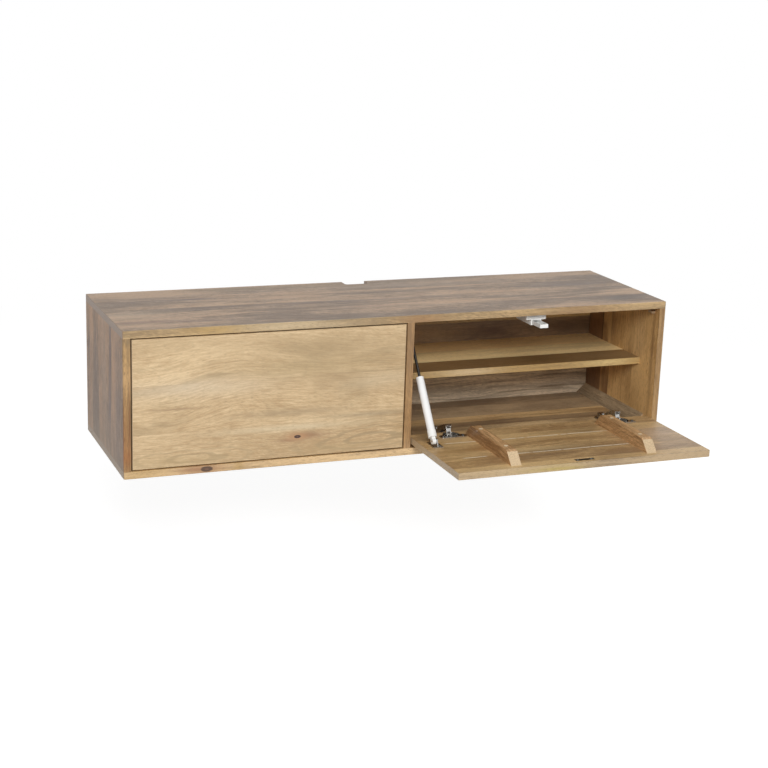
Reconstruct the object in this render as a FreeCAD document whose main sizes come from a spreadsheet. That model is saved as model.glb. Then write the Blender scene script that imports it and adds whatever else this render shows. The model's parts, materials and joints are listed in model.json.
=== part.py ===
import FreeCAD, Part
import math
import os

import Sketcher

# Wall-hung media console: a shallow timber case with two bays. Each bay has a fixed shelf, a drop-down
# door on two concealed cup hinges, a damping strut and a push latch. The left door rests closed and
# the right door rests open.
#
# Frame: +X runs to the right, +Y points back to the wall and +Z up. The wall is the plane Y = 0, and the
# origin is the middle of the line of wall-fixing holes.

SIZES = (
    ("console_width", 1200, "case, left to right"),
    ("console_depth", 350, "case, front to wall"),
    ("console_height", 300, "case, underside to top"),
    ("panel_thickness", 15, "top, bottom and sides"),
    ("divider_thickness", 15, "centre divider"),
    ("back_thickness", 12, "back panel"),
    ("cable_cavity", 28, "space between back panel and wall"),
    ("edge_softening", 1, "chamfer along the outer edges"),
    ("corner_radius", 3, "rounding of the outer front corners in plan"),
    ("notch_width", 54, "cable notch in the back edge of the top"),
    ("notch_depth", 28, "cable notch, from the wall"),
    ("notch_radius", 6, "inner corners of the cable notch"),
    ("cable_hole_diameter", 50, "cable holes in the back panel"),
    ("cable_hole_offset", 70, "cable hole centres, from the middle"),
    ("cable_hole_drop", 88, "cable hole centres, below the underside of the top"),
    ("rail_height", 60, "hanging rails"),
    ("rail_gap", 70, "between the two hanging rails"),
    ("fixing_spacing", 300, "wall-fixing holes, centre to centre"),
    ("fixing_diameter", 6.5, "wall-fixing holes"),
    ("shelf_setback", 70, "shelf's front edge, behind the case front"),
    ("shelf_thickness", 15, "shelf"),
    ("lower_height", 128, "clear height under the shelf"),
    ("strip_width", 23, "corner strip, along the bottom"),
    ("strip_height", 21, "corner strip, up the side"),
    ("strip_setback", 38, "corner strip, front end behind the case front"),
    ("stop_width", 8, "door stops, out from the side"),
    ("stop_height", 5, "door stops"),
    ("stop_length", 16, "door stops, front to back"),
    ("stop_drop", 9.5, "door stops, below the underside of the top"),
    ("door_side_gap", 2.75, "gap beside a closed door"),
    ("door_edge_gap", 3, "gap above and below a closed door"),
    ("door_thickness", 15, "door"),
    ("door_press", 3, "free travel of a closed door before its stops"),
    ("door_swing", 90, "door angle from closed to open, in degrees"),
    ("pivot_depth", 8, "door axis, behind the case front"),
    ("pivot_rise", 12, "door axis, above the door's lower edge"),
    ("batten_width", 23, "door battens"),
    ("batten_height", 26, "door battens, out from the door"),
    ("batten_bevel", 25, "slope at each end of a batten"),
    ("batten_softening", 2, "rounding of the batten's long edges"),
    ("batten_nose", 4, "easing of the edge where a batten's slopes begin"),
    ("batten_lower_margin", 24, "batten to the door's lower edge"),
    ("batten_upper_margin", 14, "batten to the door's upper edge"),
    ("batten_inset_a", 132, "first batten centre, from the door's left edge"),
    ("batten_inset_b", 130, "second batten centre, from the door's right edge"),
    ("batten_screw_margin", 27, "batten screws, from the ends of its flat top"),
    ("batten_screw_diameter", 4, "batten screws"),
    ("batten_screw_grip", 10, "batten screws, depth in the door"),
    ("batten_screw_head", 8, "batten screws, head diameter"),
    ("batten_head_height", 2.4, "batten screws, head"),
    ("plug_diameter", 9, "timber plugs over the batten screws"),
    ("plug_depth", 4, "timber plugs"),
    ("hinge_inset_a", 89.5, "first hinge, from the door's left edge"),
    ("hinge_inset_b", 76, "second hinge, from the door's right edge"),
    ("cup_diameter", 35, "hinge cup"),
    ("cup_edge_distance", 5, "hinge cup to the door's lower edge"),
    ("cup_depth", 12, "hinge cup"),
    ("cup_wall", 1, "hinge cup"),
    ("cup_sides", 24, "flats of the hinge cups and of their bores"),
    ("flange_length", 60, "hinge cup flange, along the door"),
    ("flange_width", 18, "hinge cup flange, at its wings"),
    ("flange_ring", 1.5, "hinge cup flange, beyond the cup"),
    ("flange_thickness", 1.2, "hinge cup flange"),
    ("flange_corner", 6, "rounding of the wing corners"),
    ("flange_hole_spacing", 45, "flange screws, centre to centre"),
    ("flange_hole_offset", 9.5, "flange screws, above the cup centre"),
    ("cup_notch_depth", 3, "notch in the cup rim that the links pass through"),
    ("cup_notch_clearance", 0.8, "notch in the cup rim, each side of the links"),
    ("plate_front", 46, "hinge plate, behind the door axis"),
    ("plate_length", 46, "hinge plate, front to back"),
    ("plate_width", 20, "hinge plate"),
    ("plate_thickness", 3, "hinge plate"),
    ("plate_screw_front", 5, "front plate screw, from the plate's front"),
    ("plate_screw_back", 4.5, "back plate screw, from the plate's back"),
    ("rib_front", 57, "raised rib of the plate, behind the door axis"),
    ("rib_length", 25, "raised rib of the plate"),
    ("rib_clearance", 0.2, "rib to the walls of the hinge arm"),
    ("arm_width", 14, "hinge arm"),
    ("arm_wall", 1.6, "hinge arm, pressed steel"),
    ("arm_back", 83, "back end of the arm, behind the door axis"),
    ("arm_height", 12, "back of the arm, above its plate"),
    ("arm_bend", 57, "where the arm starts to rise, behind the door axis"),
    ("arm_knee_back", 44, "middle of the arm's slope, behind the door axis"),
    ("arm_knee_up", 12, "middle of the arm's slope, above the door axis"),
    ("nose_front", 6, "arm nose, behind the door axis"),
    ("nose_back", 15, "arm nose top, behind the door axis"),
    ("nose_top", 24, "arm nose top, above the door axis"),
    ("nose_low", 15.5, "arm nose front, lower corner above the door axis"),
    ("chin_front", 14, "arm chin, behind the door axis"),
    ("chin_back", 22, "back of the arm chin, behind the door axis"),
    ("chin_low", 11, "arm chin, above the door axis"),
    ("heel_back", 42, "arm heel, behind the door axis"),
    ("heel_drop", 2, "arm heel, below the door axis"),
    ("foot_front", 52, "front of the arm's foot, behind the door axis"),
    ("outer_pin_back", 9, "outer link pin, behind the door axis"),
    ("outer_pin_up", 19, "outer link pin, above the door axis"),
    ("inner_pin_back", 18, "inner link pin, behind the door axis"),
    ("inner_pin_up", 15, "inner link pin, above the door axis"),
    ("outer_cup_radius", 1.6, "outer link's cup end, from the door axis"),
    ("inner_cup_radius", 5, "inner link's cup end, from the door axis"),
    ("outer_link_width", 10.2, "outer link"),
    ("outer_link_plate", 1.7, "outer link, each side plate"),
    ("outer_web_start", 3, "outer link, web between its side plates, from the arm pin"),
    ("outer_web_length", 7, "outer link, web between its side plates"),
    ("outer_web_thickness", 1.2, "outer link, web between its side plates"),
    ("inner_link_width", 5.6, "inner link"),
    ("link_thickness", 2.4, "links, between their ends"),
    ("link_eye", 5.2, "links, outside diameter at the arm pins"),
    ("outer_barrel", 4, "outer link, diameter at the cup end"),
    ("inner_barrel", 3.6, "inner link, diameter at the cup end"),
    ("pin_diameter", 2.4, "link pins"),
    ("pin_clearance", 0.08, "link pins, all round"),
    ("pin_sides", 12, "flats of the link pins, their holes and the link ends"),
    ("screw_diameter", 3.5, "hardware screws"),
    ("screw_length", 12, "hardware screws, under the head"),
    ("screw_head", 6.6, "hardware screws, head diameter"),
    ("screw_head_height", 1.6, "hardware screws, head"),
    ("screw_sides", 6, "flats of the screw shanks and of their holes"),
    ("head_sides", 8, "flats of the screw heads"),
    ("plug_sides", 12, "flats of the timber plugs and of their holes"),
    ("pilot_clearance", 0.1, "screw holes and cup bores, over their diameter"),
    ("arm_screw_diameter", 4, "arm screws"),
    ("arm_screw_length", 9, "arm screws, under the head"),
    ("arm_screw_head", 8, "arm screws, head diameter"),
    ("arm_screw_back", 69, "arm screws, behind the door axis"),
    ("strut_inset", 20, "strut, from the door's left edge"),
    ("strut_foot_share", 0.3371, "strut foot, height as a part of the door's height"),
    ("strut_foot_out", 12, "strut foot, out from the door's inner face"),
    ("strut_head_back", 86, "strut head, behind the case front"),
    ("strut_head_drop", 32.5, "strut head, below the underside of the top"),
    ("strut_tube_diameter", 16.5, "strut cylinder"),
    ("strut_tube_start", 24, "strut cylinder, from the foot pin"),
    ("strut_closed_gap", 15, "strut cylinder's mouth to the head pin, door closed"),
    ("strut_rod_diameter", 6, "strut rod"),
    ("strut_rod_overlap", 9, "rod left in the cylinder when extended"),
    ("strut_bore_floor", 2.5, "strut cylinder, closed end"),
    ("strut_bore_clearance", 0.1, "rod in the cylinder, all round"),
    ("strut_collar_diameter", 18, "collar of the strut foot"),
    ("strut_collar_length", 15.5, "collar of the strut foot"),
    ("strut_neck_width", 9, "neck of the strut foot"),
    ("strut_eye_diameter", 13, "eye of the strut foot"),
    ("strut_eye_width", 8, "eyes of the strut, along the pin"),
    ("strut_head_eye", 11, "eye of the strut rod"),
    ("strut_pin_diameter", 5, "strut pins"),
    ("strut_pin_clearance", 0.08, "strut pins, all round"),
    ("eye_sides", 20, "flats of the strut pins, eyes and boss"),
    ("tube_sides", 24, "flats of the strut cylinder, its collar, its rod and its bore"),
    ("strut_open_gap", 0.3, "free side gap of the strut head to its pin"),
    ("bracket_thickness", 2, "strut brackets"),
    ("bracket_lower", 27, "door bracket, below the foot pin"),
    ("bracket_upper", 11, "door bracket, above the foot pin"),
    ("bracket_left", 4, "door bracket, left of the strut"),
    ("bracket_right", 18, "door bracket, right of the strut"),
    ("bracket_ear_gap", 1, "door bracket ear, from the strut eye"),
    ("bracket_ear_rim", 5, "door bracket ear, beyond the foot pin"),
    ("bracket_screw_lower", 19, "door bracket screw, below the foot pin"),
    ("bracket_screw_upper", 4, "door bracket screw, above the foot pin"),
    ("bracket_screw_gap", 5.5, "door bracket screws, right of the ear"),
    ("wall_plate_width", 24, "wall bracket, front to back"),
    ("wall_plate_height", 40, "wall bracket"),
    ("wall_plate_corner", 5, "wall bracket, cut corners"),
    ("wall_screw_spacing", 28, "wall bracket screws, centre to centre"),
    ("wall_boss_diameter", 10, "boss of the wall bracket"),
    ("wall_boss_length", 8, "boss of the wall bracket"),
    ("latch_setback", 21.5, "latch front, behind the case front"),
    ("latch_length", 70, "latch housing"),
    ("latch_width", 24.5, "latch housing"),
    ("latch_height", 25.6, "latch housing"),
    ("latch_ear_span", 46, "latch housing, over its ears"),
    ("latch_ear_height", 14, "latch ears"),
    ("latch_ear_length", 14, "latch ears, front to back"),
    ("latch_ear_floor", 3, "latch ears, under the screw heads"),
    ("latch_screw_well", 7.4, "wells for the latch screws"),
    ("latch_screw_spacing", 35, "latch screws, centre to centre"),
    ("latch_floor", 1.6, "latch housing, below the plunger"),
    ("plunger_width", 19, "latch plunger"),
    ("plunger_height", 8, "latch plunger"),
    ("plunger_length", 60, "latch plunger"),
    ("plunger_wall", 1.6, "latch plunger"),
    ("plunger_nose", 3, "front plate of the plunger"),
    ("plunger_clearance", 0.3, "plunger in its channel, all round"),
    ("plunger_rest_gap", 2.8, "plunger to the strike plate, door closed"),
    ("plunger_stroke", 34.5, "travel of the plunger"),
    ("channel_end", 4, "channel, behind the retracted plunger"),
    ("magnet_length", 8, "latch magnet"),
    ("magnet_clearance", 0.1, "magnet in the plunger, each side"),
    ("strike_length", 43, "strike plate"),
    ("strike_width", 13, "strike plate"),
    ("strike_thickness", 1.6, "strike plate"),
    ("strike_recess", 2.2, "recess for the strike plate"),
    ("strike_margin", 0.5, "recess round the strike plate"),
    ("strike_drop", 15.5, "strike plate centre, below the door's upper edge"),
    ("strike_screw_spacing", 31, "strike plate screws, centre to centre"),
)

doc = FreeCAD.newDocument("floating_media_console")
sheet = doc.addObject("Spreadsheet::Sheet", "Sizes")
for row, (alias, value, meaning) in enumerate(SIZES, start=1):
    sheet.set(f"A{row}", alias)
    sheet.set(f"B{row}", str(value))
    sheet.setAlias(f"B{row}", alias)
    sheet.set(f"C{row}", meaning)
doc.recompute()


class Dim:
    """A size with its value now and the expression that ties it to the sheet."""

    def __init__(self, value, text):
        self.value = float(value)
        self.text = text

    def joined(self, value, other, sign):
        return Dim(value, f"({self.text} {sign} {other.text})")

    def __add__(self, other):
        other = dim(other)
        return self.joined(self.value + other.value, other, "+")

    def __sub__(self, other):
        other = dim(other)
        return self.joined(self.value - other.value, other, "-")

    def __mul__(self, other):
        other = dim(other)
        return self.joined(self.value * other.value, other, "*")

    def __truediv__(self, other):
        other = dim(other)
        return self.joined(self.value / other.value, other, "/")

    def __neg__(self):
        return Dim(-self.value, f"(0 - {self.text})")


def dim(number):
    return number if isinstance(number, Dim) else Dim(number, str(number))


def sine(angle):
    return Dim(math.sin(math.radians(angle.value)), f"sin({angle.text})")


def cosine(angle):
    return Dim(math.cos(math.radians(angle.value)), f"cos({angle.text})")


def length_of(along, up):
    return Dim(math.hypot(along.value, up.value), f"hypot({along.text}; {up.text})")


def angle_of(along, up):
    """Angle of the direction (along, up), in degrees."""
    return Dim(math.degrees(math.atan2(up.value, along.value)), f"(atan2({up.text}; {along.text}) / 1 deg)")


def turned(point, angle):
    """The point (back, up) turned about the origin, from back towards up."""
    back, up = point
    return (back * cosine(angle) - up * sine(angle), back * sine(angle) + up * cosine(angle))


class Sheet:
    """Gives each alias of the spreadsheet as a Dim."""

    def __getattr__(self, alias):
        return Dim(sheet.get(alias), f"Sizes.{alias}")


size = Sheet()
ZERO = dim(0)
HALF_TURN = dim(180)


# ---------------------------------------------------------------- shape helpers

subparts = []


def finish(obj, label):
    """Marks an object as a sub-part that gets its own file."""
    obj.Label = label
    subparts.append(obj)
    return obj


def place(obj, x=ZERO, y=ZERO, z=ZERO, axis=(1, 0, 0), angle=None):
    if angle is not None:
        turn = FreeCAD.Rotation(FreeCAD.Vector(*axis), angle.value)
        obj.Placement = FreeCAD.Placement(FreeCAD.Vector(0, 0, 0), turn)
        if angle.value and angle.text != str(angle.value):
            obj.setExpression("Placement.Rotation.Angle", angle.text)
    for name, distance in (("x", x), ("y", y), ("z", z)):
        obj.setExpression(f"Placement.Base.{name}", distance.text)
    return obj


def box(name, low, high):
    """Part::Box between two corners, each given as three Dims."""
    obj = doc.addObject("Part::Box", name)
    for prop, a, b in zip(("Length", "Width", "Height"), low, high):
        obj.setExpression(prop, (b - a).text)
    return place(obj, *low)


TURNS = {
    "x": ((0, 1, 0), 90),
    "-x": ((0, 1, 0), -90),
    "y": ((1, 0, 0), -90),
    "-y": ((1, 0, 0), 90),
    "z": ((0, 0, 1), 0),
    "-z": ((1, 0, 0), 180),
}


def upright(obj, length, start, direction):
    """Runs a primitive from start along a row direction."""
    axis, angle = TURNS[direction]
    obj.setExpression("Height", length.text)
    return place(obj, *start, axis=axis, angle=dim(angle))


def prism(name, diameter, length, start, direction, sides):
    """Part::Prism with enough flats to stand for a small round part or hole."""
    obj = doc.addObject("Part::Prism", name)
    obj.setExpression("Polygon", sides.text)
    obj.setExpression("Circumradius", (diameter / 2).text)
    return upright(obj, length, start, direction)


def fused(name, shapes):
    obj = doc.addObject("Part::MultiFuse", name)
    obj.Shapes = shapes
    return obj


def cut(name, base, tool):
    obj = doc.addObject("Part::Cut", name)
    obj.Base = base
    obj.Tool = tool
    return obj


def group(name, shapes):
    """Several separate solids that share one file."""
    obj = doc.addObject("Part::Compound", name)
    obj.Links = shapes
    return obj


def bored(name, base, places, diameter, depth, sides):
    """Takes a straight hole out of a shape at each place, a start and a direction."""
    tools = []
    for number, (start, direction) in enumerate(places):
        tools.append(prism(f"{name}_hole_{number}", diameter, depth, start, direction, sides))
    return cut(name, base, group(f"{name}_holes", tools))


def new_body(name):
    return doc.addObject("PartDesign::Body", name)


def new_sketch(body, plane, offset=ZERO):
    """Sketch on one of the body's own planes, moved along the plane's normal (-Y for XZ)."""
    sketch = body.newObject("Sketcher::SketchObject", f"{body.Name}_sketch")
    support = next(item for item in body.Origin.OriginFeatures if item.Role == f"{plane}_Plane")
    sketch.AttachmentSupport = [(support, "")]
    sketch.MapMode = "FlatFace"
    sketch.setExpression("AttachmentOffset.Base.z", offset.text)
    return sketch


def pin_point(sketch, curve, end, x, y):
    """Holds one point of a sketch at its distances from the sketch's origin."""
    for kind, distance in (("DistanceX", x), ("DistanceY", y)):
        rule = sketch.addConstraint(Sketcher.Constraint(kind, -1, 1, curve, end, distance.value))
        sketch.setExpression(f"Constraints[{rule}]", distance.text)


def outline(sketch, points):
    first = sketch.GeometryCount
    corners = [FreeCAD.Vector(x.value, y.value, 0) for x, y in points]
    for number, corner in enumerate(corners):
        following = corners[(number + 1) % len(corners)]
        sketch.addGeometry(Part.LineSegment(corner, following))
    for number in range(len(points)):
        following = (number + 1) % len(points)
        sketch.addConstraint(Sketcher.Constraint("Coincident", first + number, 2, first + following, 1))
    for number, (x, y) in enumerate(points):
        pin_point(sketch, first + number, 1, x, y)


def rectangle(sketch, left, low, right, high):
    outline(sketch, ((left, low), (right, low), (right, high), (left, high)))


def circle(sketch, x, y, diameter):
    centre = FreeCAD.Vector(x.value, y.value, 0)
    curve = sketch.addGeometry(Part.Circle(centre, FreeCAD.Vector(0, 0, 1), diameter.value / 2))
    pin_point(sketch, curve, 3, x, y)
    rule = sketch.addConstraint(Sketcher.Constraint("Diameter", curve, diameter.value))
    sketch.setExpression(f"Constraints[{rule}]", diameter.text)


def pad(body, sketch, length, reverse=False, both_ways=False):
    feature = body.newObject("PartDesign::Pad", f"{body.Name}_pad")
    feature.Profile = sketch
    feature.setExpression("Length", length.text)
    feature.Reversed = reverse
    if both_ways:
        feature.SideType = "Symmetric"
    doc.recompute()
    return feature


def pocket(body, sketch, depth, reverse=False, both_ways=False):
    """Pocket that has to take material away."""
    before = body.Shape.Volume
    feature = body.newObject("PartDesign::Pocket", f"{body.Name}_pocket")
    feature.Profile = sketch
    feature.setExpression("Length", depth.text)
    feature.Reversed = reverse
    if both_ways:
        feature.SideType = "Symmetric"
    doc.recompute()
    if not body.Shape.Volume < before:
        raise RuntimeError(f"{feature.Name} cuts nothing")
    return feature


def picked(body, wanted):
    """Names of the straight edges that the test picks by their middle point and direction."""
    names = []
    for number, edge in enumerate(body.Shape.Edges, start=1):
        if edge.Curve.TypeId != "Part::GeomLine":
            continue
        middle = edge.CenterOfMass
        along = (edge.Vertexes[1].Point - edge.Vertexes[0].Point).normalize()
        if wanted(middle, along):
            names.append(f"Edge{number}")
    return names


def dressed(body, kind, prop, amount, names):
    """Fillet or Chamfer on the named edges of a body."""
    tip = body.Tip
    feature = body.newObject(f"PartDesign::{kind}", f"{body.Name}_{kind}")
    feature.Base = (tip, names)
    feature.setExpression(prop, amount.text)
    doc.recompute()


def rounded(body, radius, wanted):
    dressed(body, "Fillet", "Radius", radius, picked(body, wanted))


def chamfered(body, amount, wanted):
    dressed(body, "Chamfer", "Size", amount, picked(body, wanted))


def near(a, b):
    return abs(a - b) < 1e-4


def panel(name, plane, offset, corners, thickness, holes=(), reverse=False):
    """Flat panel from a rectangle (left, low, right, high) with round through-holes (x, y, diameter)."""
    body = new_body(name)
    sketch = new_sketch(body, plane, offset)
    rectangle(sketch, *corners)
    for x, y, diameter in holes:
        circle(sketch, x, y, diameter)
    pad(body, sketch, thickness, reverse)
    return body


# ---------------------------------------------------------------- levels and places

half_width = size.console_width / 2
front = -size.console_depth
top_under = size.rail_height / 2
case_top = top_under + size.panel_thickness
case_low = case_top - size.console_height
floor_level = case_low + size.panel_thickness
side_inner = half_width - size.panel_thickness
back_rear = -size.cable_cavity
back_front = back_rear - size.back_thickness
divider_half = size.divider_thickness / 2

bay_width = side_inner - divider_half
bay_height = top_under - floor_level
bay_centres = {"left": -(divider_half + bay_width / 2), "right": divider_half + bay_width / 2}
bay_half = bay_width / 2

door_half = bay_half - size.door_side_gap
pivot_y = front + size.pivot_depth
pivot_z = floor_level + size.door_edge_gap + size.pivot_rise
rest_angles = {"left": ZERO, "right": size.door_swing}

# Places below are measured from the door axis, in a bay's own frame: x from the bay's middle, back and up.
door_outer = -size.pivot_depth
door_inner = door_outer + size.door_thickness
door_low = -size.pivot_rise
door_high = door_low + bay_height - size.door_edge_gap * 2
floor_up = door_low - size.door_edge_gap
under_top_up = door_high + size.door_edge_gap
bay_left = -bay_half

hinge_xs = (-door_half + size.hinge_inset_a, door_half - size.hinge_inset_b)
cup_up = door_low + size.cup_edge_distance + size.cup_diameter / 2
flange_face = door_inner + size.flange_thickness
wing_up = cup_up + size.flange_hole_offset
flange_hole_half = size.flange_hole_spacing / 2

plate_top = floor_up + size.plate_thickness
plate_back = size.plate_front + size.plate_length
plate_screws = (size.plate_front + size.plate_screw_front, plate_back - size.plate_screw_back)
arm_top = plate_top + size.arm_height
rib_top = arm_top - size.arm_wall

batten_xs = {"a": -door_half + size.batten_inset_a, "b": door_half - size.batten_inset_b}
batten_low = door_low + size.batten_lower_margin
batten_high = door_high - size.batten_upper_margin
batten_face = door_inner + size.batten_height
batten_screw_ups = (
    batten_low + size.batten_bevel + size.batten_screw_margin,
    batten_high - size.batten_bevel - size.batten_screw_margin,
)

strut_x = -door_half + size.strut_inset
foot = (door_inner + size.strut_foot_out, door_low + (door_high - door_low) * size.strut_foot_share)
head = (size.strut_head_back - size.pivot_depth, under_top_up - size.strut_head_drop)
eye_half = size.strut_eye_width / 2
ear_left = strut_x + eye_half + size.bracket_ear_gap
ear_right = ear_left + size.bracket_thickness
bracket_face = door_inner + size.bracket_thickness
bracket_screw_x = ear_right + size.bracket_screw_gap
bracket_screw_ups = (foot[1] - size.bracket_screw_lower, foot[1] + size.bracket_screw_upper)
wall_screw_ups = (head[1] - size.wall_screw_spacing / 2, head[1] + size.wall_screw_spacing / 2)

strike_up = door_high - size.strike_drop
strike_floor = door_inner - size.strike_recess
strike_face = strike_floor + size.strike_thickness
strike_screw_half = size.strike_screw_spacing / 2

latch_front = size.latch_setback - size.pivot_depth
latch_back = latch_front + size.latch_length
latch_low = under_top_up - size.latch_height
latch_half = size.latch_width / 2
plunger_low = latch_low + size.latch_floor + size.plunger_clearance
plunger_front = strike_face + size.plunger_rest_gap
channel_half = size.plunger_width / 2 + size.plunger_clearance
channel_back = plunger_front + size.plunger_length + size.channel_end
latch_screw_back = latch_front + size.latch_ear_length / 2
latch_screw_half = size.latch_screw_spacing / 2

pilot = size.screw_diameter + size.pilot_clearance
arm_pilot = size.arm_screw_diameter + size.pilot_clearance
batten_pilot = size.batten_screw_diameter + size.pilot_clearance

# Screw places: where a screw's head seats and which way its shank runs. Those on the case first.
plate_places = [((x, back, plate_top), "-z") for x in hinge_xs for back in plate_screws]
wall_places = [((bay_left + size.bracket_thickness, head[0], up), "-x") for up in wall_screw_ups]
latch_seat = under_top_up - size.latch_ear_floor
latch_places = [((x, latch_screw_back, latch_seat), "z") for x in (-latch_screw_half, latch_screw_half)]
arm_places = [((x, size.arm_screw_back, arm_top), "-z") for x in hinge_xs]
cup_places = [((x + reach, flange_face, wing_up), "-y")
              for x in hinge_xs for reach in (-flange_hole_half, flange_hole_half)]
bracket_places = [((bracket_screw_x, bracket_face, up), "-y") for up in bracket_screw_ups]
strike_places = [((x, strike_face, strike_up), "-y") for x in (-strike_screw_half, strike_screw_half)]
batten_seat = batten_face - size.plug_depth - size.batten_head_height
batten_reach = batten_seat - door_inner + size.batten_screw_grip
batten_places = {name: [((x, batten_seat, up), "-y") for up in batten_screw_ups]
                 for name, x in batten_xs.items()}


def in_case(places, sides=("left", "right")):
    """Places of a bay's own frame as places of the case."""
    return [((bay_centres[side] + x, pivot_y + back, pivot_z + up), direction)
            for side in sides for (x, back, up), direction in places]


closed_length = length_of(head[0] - foot[0], head[1] - foot[1])
foot_opened = turned(foot, size.door_swing)
open_length = length_of(head[0] - foot_opened[0], head[1] - foot_opened[1])
tube_end = closed_length - size.strut_closed_gap
tube_length = tube_end - size.strut_tube_start


def strut_pose(side):
    """Angle of the strut from its foot to its head and its length, as the bay rests."""
    here = turned(foot, rest_angles[side])
    away = (head[0] - here[0], head[1] - here[1])
    return here, angle_of(*away), length_of(*away)


# ---------------------------------------------------------------- case

def front_corner(middle, along):
    """Picks the upright edges at the outer front corners of the case."""
    return near(middle.y, front.value) and near(abs(middle.x), half_width.value) and near(abs(along.z), 1)


def make_top_panel():
    body = new_body("top_panel_body")
    sketch = new_sketch(body, "XY", top_under)
    notch_half = size.notch_width / 2
    notch_end = -size.notch_depth
    outline(sketch, (
        (-half_width, front),
        (half_width, front),
        (half_width, ZERO),
        (notch_half, ZERO),
        (notch_half, notch_end),
        (-notch_half, notch_end),
        (-notch_half, ZERO),
        (-half_width, ZERO),
    ))
    pad(body, sketch, size.panel_thickness)
    rounded(body, size.notch_radius, lambda mid, along: near(mid.y, notch_end.value)
            and near(abs(along.z), 1))
    rounded(body, size.corner_radius, front_corner)
    chamfered(body, size.edge_softening, lambda mid, along: near(mid.z, case_top.value)
              and (near(mid.y, front.value) or near(abs(mid.x), half_width.value)))
    places = in_case(latch_places)
    finish(bored("top_bored", body, places, pilot, size.screw_length, size.screw_sides), "top_panel")


def make_bottom_panel():
    corners = (-half_width, front, half_width, ZERO)
    body = panel("bottom_panel_body", "XY", case_low, corners, size.panel_thickness)
    rounded(body, size.corner_radius, front_corner)
    chamfered(body, size.edge_softening, lambda mid, along: near(mid.z, case_low.value)
              and (near(mid.y, front.value) or near(abs(mid.x), half_width.value)))
    places = in_case(plate_places)
    finish(bored("bottom_bored", body, places, pilot, size.screw_length, size.screw_sides), "bottom_panel")


def make_side_panels():
    corners = (front, floor_level, ZERO, top_under)
    for side, outer in (("left", -half_width), ("right", side_inner)):
        body = panel(f"{side}_side_body", "YZ", outer, corners, size.panel_thickness)
        rounded(body, size.corner_radius, front_corner)
        if side == "left":
            places = in_case(wall_places, ["left"])
            body = bored("left_side_bored", body, places, pilot, size.screw_length, size.screw_sides)
        finish(body, f"{side}_side_panel")


def make_divider():
    corners = (front, floor_level, back_front, top_under)
    body = panel("divider_body", "YZ", -divider_half, corners, size.divider_thickness)
    places = in_case(wall_places, ["right"])
    body = bored("divider_bored", body, places, pilot, size.screw_length, size.screw_sides)
    finish(body, "centre_divider")


fixing_xs = (
    -size.fixing_spacing * 3 / 2,
    -size.fixing_spacing / 2,
    size.fixing_spacing / 2,
    size.fixing_spacing * 3 / 2,
)


def make_back_panel():
    hole_z = top_under - size.cable_hole_drop
    holes = [(x, ZERO, size.fixing_diameter) for x in fixing_xs]
    for x in (-size.cable_hole_offset, size.cable_hole_offset):
        holes.append((x, hole_z, size.cable_hole_diameter))
    corners = (-side_inner, floor_level, side_inner, top_under)
    body = panel("back_panel_body", "XZ", -back_rear, corners, size.back_thickness, holes)
    finish(body, "back_panel")


def make_hanging_rails():
    inner = size.rail_gap / 2
    ends = {"left": (-side_inner, -inner, fixing_xs[:2]), "right": (inner, side_inner, fixing_xs[2:])}
    for side, (left, right, xs) in ends.items():
        holes = [(x, ZERO, size.fixing_diameter) for x in xs]
        corners = (left, -size.rail_height / 2, right, size.rail_height / 2)
        body = panel(f"{side}_rail_body", "XZ", ZERO, corners, size.cable_cavity, holes)
        finish(body, f"{side}_hanging_rail")


def make_shelf(side):
    centre = bay_centres[side]
    low = floor_level + size.lower_height
    shelf_front = front + size.shelf_setback
    corners = (centre - bay_half, shelf_front, centre + bay_half, back_front)
    body = panel(f"{side}_shelf_body", "XY", low, corners, size.shelf_thickness)
    chamfered(body, size.edge_softening, lambda mid, along: near(mid.y, shelf_front.value)
              and near(abs(along.x), 1))
    finish(body, f"{side}_shelf")


def make_corner_strip(side):
    """Three-sided strip glued into the corner of the case's side and bottom."""
    body = new_body(f"{side}_strip_body")
    sketch = new_sketch(body, "XZ", -back_front)
    wall = side_inner if side == "right" else -side_inner
    edge = wall - size.strip_width if side == "right" else wall + size.strip_width
    outline(sketch, ((wall, floor_level), (wall, floor_level + size.strip_height), (edge, floor_level)))
    pad(body, sketch, -front - size.strip_setback + back_front)
    finish(body, f"{side}_corner_strip")


def make_door_stops(side):
    centre = bay_centres[side]
    y = pivot_y + door_inner + size.door_press
    high = top_under - size.stop_drop
    blocks = []
    for end, left in (("a", centre - bay_half), ("b", centre + bay_half - size.stop_width)):
        low_corner = (left, y, high - size.stop_height)
        high_corner = (left + size.stop_width, y + size.stop_length, high)
        blocks.append(box(f"{side}_stop_{end}", low_corner, high_corner))
    finish(group(f"{side}_stop_group", blocks), f"{side}_door_stops")


# ---------------------------------------------------------------- screws

OPPOSITE = {"x": "-x", "-x": "x", "y": "-y", "-y": "y", "z": "-z", "-z": "z"}


def screws_at(name, places, diameter, length, head_diameter, head_height):
    """A screw at each place: its shank from the seat inwards, its head outwards."""
    screws = []
    for number, (start, direction) in enumerate(places):
        shank = prism(f"{name}_{number}_shank", diameter, length, start, direction, size.screw_sides)
        top = prism(f"{name}_{number}_head", head_diameter, head_height, start, OPPOSITE[direction],
                    size.head_sides)
        screws.append(fused(f"{name}_{number}", [shank, top]))
    return screws


def hardware_screws(name, places):
    return screws_at(name, places, size.screw_diameter, size.screw_length, size.screw_head,
                     size.screw_head_height)


def make_case_screws(side):
    """Eight like screws: four in the hinge plates, two in the strut bracket, two in the latch."""
    screws = hardware_screws(f"{side}_case_screw", plate_places + wall_places + latch_places)
    finish(in_bay(group(f"{side}_case_screw_group", screws), side), f"{side}_case_screws")


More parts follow.
